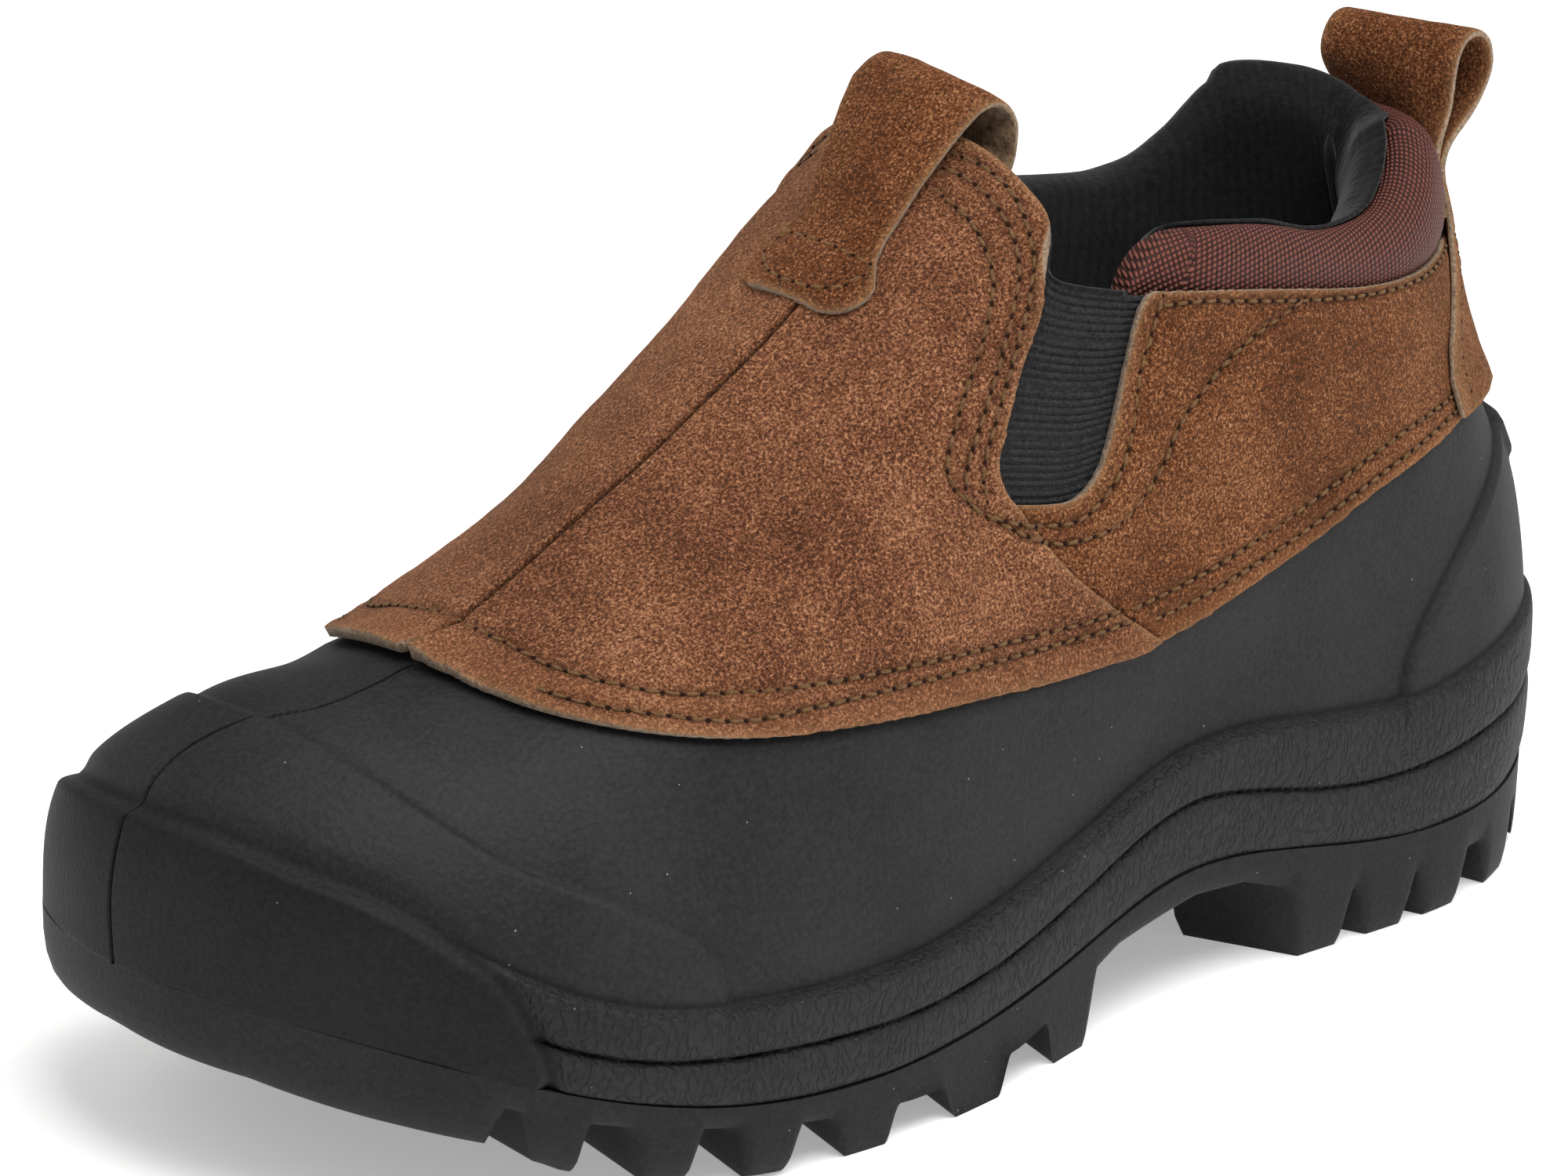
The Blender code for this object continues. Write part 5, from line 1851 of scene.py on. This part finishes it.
    def build_lining(self, finishes: Finishes) -> Piece:
        """Make the fleece: over the roll's top, down its inner side and on to the footbed."""
        us = np.arange(0, ROUND, self.lining_step)
        grow, whole, lateral = self._grow(us), np.ones(len(us)), us <= HALF
        inward = from_toe(us) - self._first(us)
        on_roll = np.where(lateral, *[ease(inward, *ramp) for ramp in self.climb])[:, None]
        outer_wrap, inner_wrap = self.wrap
        short = 1 - self.wrap_short * (1 - ease(ROUND - us, *inner_wrap))
        wrap = np.where(lateral, ease(us, *outer_wrap), short)[:, None]
        inwards = -LAST.normals(us, AT_TOP)
        starts, stops = self.pad_stations
        thicker = self.pad * ease(us, *starts) * (1 - ease(us, *stops))
        lines = []
        for rolled, over, plain, share in zip(self.fleece, self.wrapped, self.throat, self.pad_shares):
            high = self._points(us, rolled, grow) * (1 - wrap) + self._points(us, over, grow) * wrap
            high = high + inwards * (share * thicker)[:, None]
            lines.append(self._points(us, plain, whole) * (1 - on_roll) + high * on_roll)
        lines += [LAST.skin(us, level, off) for level, off in self.depths]
        chain = np.stack(lines, axis=1)
        rows = self.lining_rows
        sheet = np.stack([smooth_ring(path, rows, self.lining_rounds, False) for path in chain])
        points = sheet.transpose(1, 0, 2)[::-1].reshape(-1, 3)
        height, size = self.uneven
        points = points + height * soft_noise(points, size, SEED + 3)[:, None] * self.uneven_axes
        around = run_lengths(LAST.surface(us, AT_TOP))
        uv = np.stack([np.tile(around, rows), np.repeat(np.arange(rows) * self.row_gap, len(us))], axis=1)
        faces = [f[::-1] for f in grid_quads(rows, len(us), True)]
        made = MeshData(points, faces, uv=uv).to_object("fleece_lining", [finishes.fleece])
        wall = made.modifiers.new("fleece_pile", "SOLIDIFY")
        wall.thickness = self.pile * MM
        wall.offset = -1.0
        return fit(made, [])


# shares of a strap's half width, from its medial to its lateral edge
STRAP_ACROSS = np.array((
    -1.0, -0.975, -0.93, -0.85, -0.7, -0.5, -0.25, 0.0, 0.25, 0.5, 0.7, 0.85, 0.93, 0.975, 1.0))


@dataclass(frozen=True)
class StrapFace:
    """Outer face of a strap: rows of points, their normals and each row's distance from the sewn end."""

    points: Array
    normals: Array
    runs: Array
    per_share: float = 10.0  # mm along that count as much as one share across, when a row is curved
    sink: float = 0.1

    def row(self, places: Pairs, count: int = 160) -> tuple[Array, Array]:
        """A stitch row on the face.

        Args:
            places: Control points as distance from the sewn end (mm) and share of the width from -1 to 1.
            count: How many points to return.

        Returns:
            Points and normals of the row.
        """
        at = curve_through([(run / self.per_share, share) for run, share in places], count)
        rows, cols = self.points.shape[:2]
        r = np.clip(np.interp(at[:, 0] * self.per_share, self.runs, np.arange(rows)), 0, rows - 1.001)
        c = np.clip(np.interp(at[:, 1], STRAP_ACROSS, np.arange(cols)), 0, cols - 1.001)
        i, j = r.astype(int), c.astype(int)
        a, b = (r - i)[:, None], (c - j)[:, None]

        def blend(grid: Array) -> Array:
            """Values of a grid at the row's points."""
            low = grid[i, j] * (1 - b) + grid[i, j + 1] * b
            high = grid[i + 1, j] * (1 - b) + grid[i + 1, j + 1] * b
            return low * (1 - a) + high * a

        return blend(self.points) - self.sink * blend(self.normals), blend(self.normals)


@dataclass
class PullLoop:
    """Suede strap sewn to the upper, carried beyond its edge and folded back into a loop."""

    name: str
    node: str
    middle: float
    start_level: float
    widths: Pairs  # distance from the sewn end, half width
    shifts: Pairs  # distance from the sewn end, move to the lateral side
    lifts: Pairs  # distance from the sewn end, lift off the upper
    fold: Pairs  # forward, up, beyond the edge that the strap climbs
    tilt: float = 0.0  # share by which the lift falls to the lateral side
    straight: Span = (9.0, 24.0)  # heights over which the strap loses the upper's curve
    twist: float = 0.0  # how far the free loop turns its medial edge forward, as a slope
    turning: Span = (16.0, 31.0)  # heights over which it turns
    flesh_inside: bool = True
    low: float = 2.15
    thick: float = 1.5
    lying_rows: int = 60
    row_crowding: float = 1.2  # rows stand closer at the sewn end
    fold_rows: int = 96
    reach: tuple[float, int] = (1.9, 191)  # stations searched on either side of the middle, and how many
    thin_edge: Pairs = ((0.0, 0.03, 0.08), (0.62, 0.9, 1.0))  # share from the edge, share of the thickness
    uneven: Span = (0.12, 7.0)  # height and size of the waves
    worn_width: float = 11.0  # half width for the worn edge
    worn_fade: float = 0.55

    def _lying(self, upper: SuedeUpper) -> tuple[Array, Array]:
        """Rows of the strap on the upper, and each row's distance from the sewn end."""
        shares = np.linspace(0, 1, self.lying_rows) ** self.row_crowding
        levels = self.start_level + (AT_TOP - self.start_level) * shares
        runs = run_lengths(LAST.surface(self.middle, levels))
        half, shift, lift = (by_station(table)(runs) for table in (self.widths, self.shifts, self.lifts))
        reach, count = self.reach
        near = self.middle + np.linspace(-reach, reach, count)
        lean = 1 - self.tilt * STRAP_ACROSS
        rows = []
        for k, level in enumerate(levels):
            found = LAST.surface(near, level)
            order = np.argsort(found[:, 1])
            u = np.interp(half[k] * STRAP_ACROSS + shift[k], found[order, 1], near[order])
            lies = upper.creased(LAST.surface(u, level))
            rows.append(LAST.skin(u, level, self.low + 0.5 * self.thick + lift[k] * lean + lies))
        return np.stack(rows), runs

    def centre(self, upper: SuedeUpper) -> tuple[Array, Array]:
        """Middle of the strap's thickness.

        Args:
            upper: The upper that the strap lies on.

        Returns:
            Rows of points, and each row's distance from the sewn end.
        """
        lying, runs = self._lying(upper)
        edge = lying[-1]
        flat = np.zeros((len(STRAP_ACROSS), 3))
        flat[:, 1] = self.widths[-1][1] * STRAP_ACROSS
        straight = edge[len(STRAP_ACROSS) // 2] + flat
        path = curve_through(((0.0, 0.0),) + tuple(self.fold), self.fold_rows)
        ahead, up = path[1:].T
        move = np.stack([ahead, np.zeros(len(up)), up], axis=1)
        free = edge + (straight - edge) * ease(up, *self.straight)[:, None, None] + move[:, None, :]
        free[..., 0] -= self.twist * flat[:, 1] * ease(up, *self.turning)[:, None]
        return np.concatenate([lying, free]), np.concatenate([runs, runs[-1] + run_lengths(path)[1:]])

    def build(self, upper: SuedeUpper, finishes: Finishes) -> tuple[Piece, StrapFace]:
        """Make the strap.

        Args:
            upper: The upper that the strap lies on.
            finishes: The finishes.

        Returns:
            The piece and its outer face.
        """
        middle, runs = self.centre(upper)
        rows, cols = middle.shape[:2]
        run, wide = np.gradient(middle, axis=0), np.gradient(middle, axis=1)
        side = np.cross(wide, run)
        side /= np.maximum(np.linalg.norm(side, axis=-1, keepdims=True), 1e-9)
        if side[0, cols // 2] @ LAST.normals(self.middle, self.start_level)[0] < 0:
            side = -side
        from_edge = 1 - np.abs(STRAP_ACROSS)
        thick = 0.5 * self.thick * np.interp(from_edge, *self.thin_edge)[None, :, None]
        height, size = self.uneven
        wobble = height * soft_noise(middle.reshape(-1, 3), size, SEED + 4).reshape(rows, cols, 1)
        outer, inner = middle + side * (thick + wobble), middle - side * thick
        faces, marks = two_sided(grid_quads(rows, cols), rows * cols)
        inward = np.minimum(from_edge[None, :] * self.worn_width, runs[:, None])
        plain = np.zeros(2 * rows * cols)
        values = {"edge": np.tile(np.exp(-inward / self.worn_fade).ravel(), 2), "sewn_shade": plain, "hem": plain}
        mesh = MeshData(np.vstack([outer.reshape(-1, 3), inner.reshape(-1, 3)]), faces, marks, values)
        inside_face = finishes.flesh_side if self.flesh_inside else finishes.suede
        made = mesh.to_object(self.name, [finishes.suede, finishes.raw_edge, inside_face])
        face_outwards(made)
        return fit(made, [self.node]), StrapFace(outer, side, runs)


FRONT_LOOP = PullLoop(
    "front_pull_tab", "front_pull_loop", middle=0.0, start_level=4.475,
    widths=(
        (0.0, 7.6), (0.5, 9.2), (1.3, 10.6), (2.6, 11.8), (4.4, 12.7), (6.6, 13.2), (8.6, 12.9),
        (10.6, 11.6), (13.0, 10.2), (17.0, 9.5), (28.0, 9.7), (38.0, 10.6), (43.0, 11.2)),
    shifts=((0.0, 1.9), (12.0, 1.6), (24.0, 0.4), (43.0, -1.8)),
    lifts=((0.0, 0.0), (14.0, 0.0), (18.0, 0.5), (26.0, 2.4), (36.0, 4.6), (43.0, 5.5)),
    fold=(
        (-3.5, 2.3), (-6.5, 2.9), (-9.4, 1.7), (-11.2, -1.2), (-11.4, -4.8), (-10.4, -8.8), (-8.4, -11.2),
        (-5.0, -13.0), (0.0, -16.1), (4.0, -18.9)),
    tilt=0.45)
REAR_LOOP = PullLoop(
    "rear_pull_strap", "rear_pull_loop", middle=float(HALF), start_level=3.22,
    widths=((0.0, 26.6), (8.0, 25.8), (15.0, 23.6), (24.0, 19.0), (33.0, 14.6), (46.0, 13.4)),
    shifts=((0.0, 0.0), (40.0, 0.0)),
    lifts=((0.0, 0.0), (40.0, 0.0)),
    fold=(
        (0.5, 3.0), (1.9, 7.0), (3.4, 11.0), (4.6, 14.5), (4.4, 17.0), (3.3, 19.8), (1.9, 23.0),
        (1.2, 27.0), (1.3, 30.6), (2.4, 33.8), (4.7, 35.5), (7.4, 35.1), (9.4, 32.9), (10.3, 29.4),
        (9.7, 25.6), (8.6, 21.8), (7.5, 18.0), (6.5, 14.8), (4.9, 11.0), (3.4, 7.0), (2.2, 4.0)),
    twist=0.3, flesh_inside=False)
# rows of stitches: distance from the sewn end, share of the width
TAB_ROWS = (((11.8, -0.78), (11.8, 0.78)),
            ((11.8, -0.8), (8.0, -0.74), (4.8, -0.6), (3.0, -0.3), (2.7, 0.0), (3.0, 0.3), (4.8, 0.6),
             (8.0, 0.74)))
STRIP_ROWS = (((2.0, -0.9), (16.0, -0.89), (34.0, -0.82)), ((2.0, 0.9), (16.0, 0.89), (34.0, 0.82)))


# Studio

@dataclass(frozen=True)
class Softbox:
    """A square area light that faces a point."""

    name: str
    place: tuple[float, float, float]
    aim: tuple[float, float, float]
    size: float
    power: float

    def hang(self) -> None:
        """Put the light in the scene."""
        data = bpy.data.lights.new(self.name, "AREA")
        data.size = self.size
        data.energy = self.power
        made = in_scene(self.name, data)
        made.location = self.place
        made.rotation_euler = (Vector(self.aim) - Vector(self.place)).to_track_quat("-Z", "Y").to_euler()


@dataclass
class Studio:
    """Pale floor, soft light and a camera at the photograph's angle."""

    azimuth: float = 0.8769
    elevation: float = 0.3322
    roll: float = 0.0240
    distance: float = math.exp(7.0001)
    focal_px: float = math.exp(8.9914)
    centre_px: Span = (1009.81, 745.00)
    frame_px: Span = (2000.0, 1500.0)
    aim: Triple = (6.354, -10.163, 72.700)
    sensor: float = 36.0
    floor_size: float = 6.0
    surround: str = "#ffffff"
    surround_strength: float = 0.39
    # a large soft key, a fill and a rim
    softboxes: tuple[Softbox, ...] = (
        Softbox("key_softbox", (0.15, 0.55, 1.5), (0.0, 0.0, 0.06), size=1.0, power=20.5),
        Softbox("fill_softbox", (0.9, -0.8, 1.2), (0.05, 0.0, 0.05), size=1.0, power=2.7),
        Softbox("rear_softbox", (-0.9, 0.5, 0.9), (-0.05, 0.0, 0.08), size=0.8, power=4.0))

    def camera(self) -> None:
        """Place the camera."""
        a, e, r = self.azimuth, self.elevation, self.roll
        back = np.array((math.cos(e) * math.cos(a), math.cos(e) * math.sin(a), math.sin(e)))
        right = np.cross(-back, (0.0, 0.0, 1.0))
        right /= np.linalg.norm(right)
        up = np.cross(right, -back)
        right, up = math.cos(r) * right + math.sin(r) * up, -math.sin(r) * right + math.cos(r) * up
        place = (np.array(self.aim) + back * self.distance + PLACE) * MM
        data = bpy.data.cameras.new("photo_camera")
        data.sensor_width = self.sensor
        data.lens = self.focal_px / self.frame_px[0] * self.sensor
        data.shift_x = -(self.centre_px[0] - self.frame_px[0] / 2) / self.frame_px[0]
        data.shift_y = (self.centre_px[1] - self.frame_px[1] / 2) / self.frame_px[0]
        matrix = Matrix.Identity(4)
        for k, column in enumerate((right, up, back)):
            for axis in range(3):
                matrix[axis][k] = float(column[axis])
        matrix.translation = Vector(place)
        made = in_scene("photo_camera", data)
        made.matrix_world = matrix
        bpy.context.scene.camera = made

    def floor(self) -> None:
        """Lay the floor."""
        half = self.floor_size / 2
        mesh = bpy.data.meshes.new("studio_floor")
        corners = [(-half, -half, 0), (half, -half, 0), (half, half, 0), (-half, half, 0)]
        mesh.from_pydata(corners, [], [(0, 1, 2, 3)])
        mesh.materials.append(StudioPaper().material())
        made = in_scene("studio_floor", mesh)

    def lights(self) -> None:
        """Hang the lights, with an even white surround."""
        for softbox in self.softboxes:
            softbox.hang()
        world = bpy.data.worlds.new("studio_surround")
        world.use_nodes = True
        feed(world.node_tree, world.node_tree.nodes["Background"],
             {"Color": linear(self.surround), "Strength": self.surround_strength})
        bpy.context.scene.world = world
        bpy.context.scene.view_settings.view_transform = "Standard"


def main() -> None:
    """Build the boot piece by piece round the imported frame."""
    logging.basicConfig(level=logging.INFO, format="%(name)s %(message)s")
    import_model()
    finishes = Finishes.make()
    studio = Studio()
    studio.camera()
    studio.floor()
    studio.lights()
    Outsole().build(finishes)
    RubberShell().build(finishes)
    Footbed().build(finishes)
    upper = SuedeUpper()
    upper.build(finishes)
    for side in Side:
        ElasticGore(side).build(finishes)
    collar = PaddedCollar()
    collar.build_roll(finishes)
    collar.build_lining(finishes)
    _, tab = FRONT_LOOP.build(upper, finishes)
    _, strip = REAR_LOOP.build(upper, finishes)
    extra = [tab.row(places) for places in TAB_ROWS] + [strip.row(places) for places in STRIP_ROWS]
    Stitching().build(upper, extra, finishes)


if __name__ == "__main__":
    main()
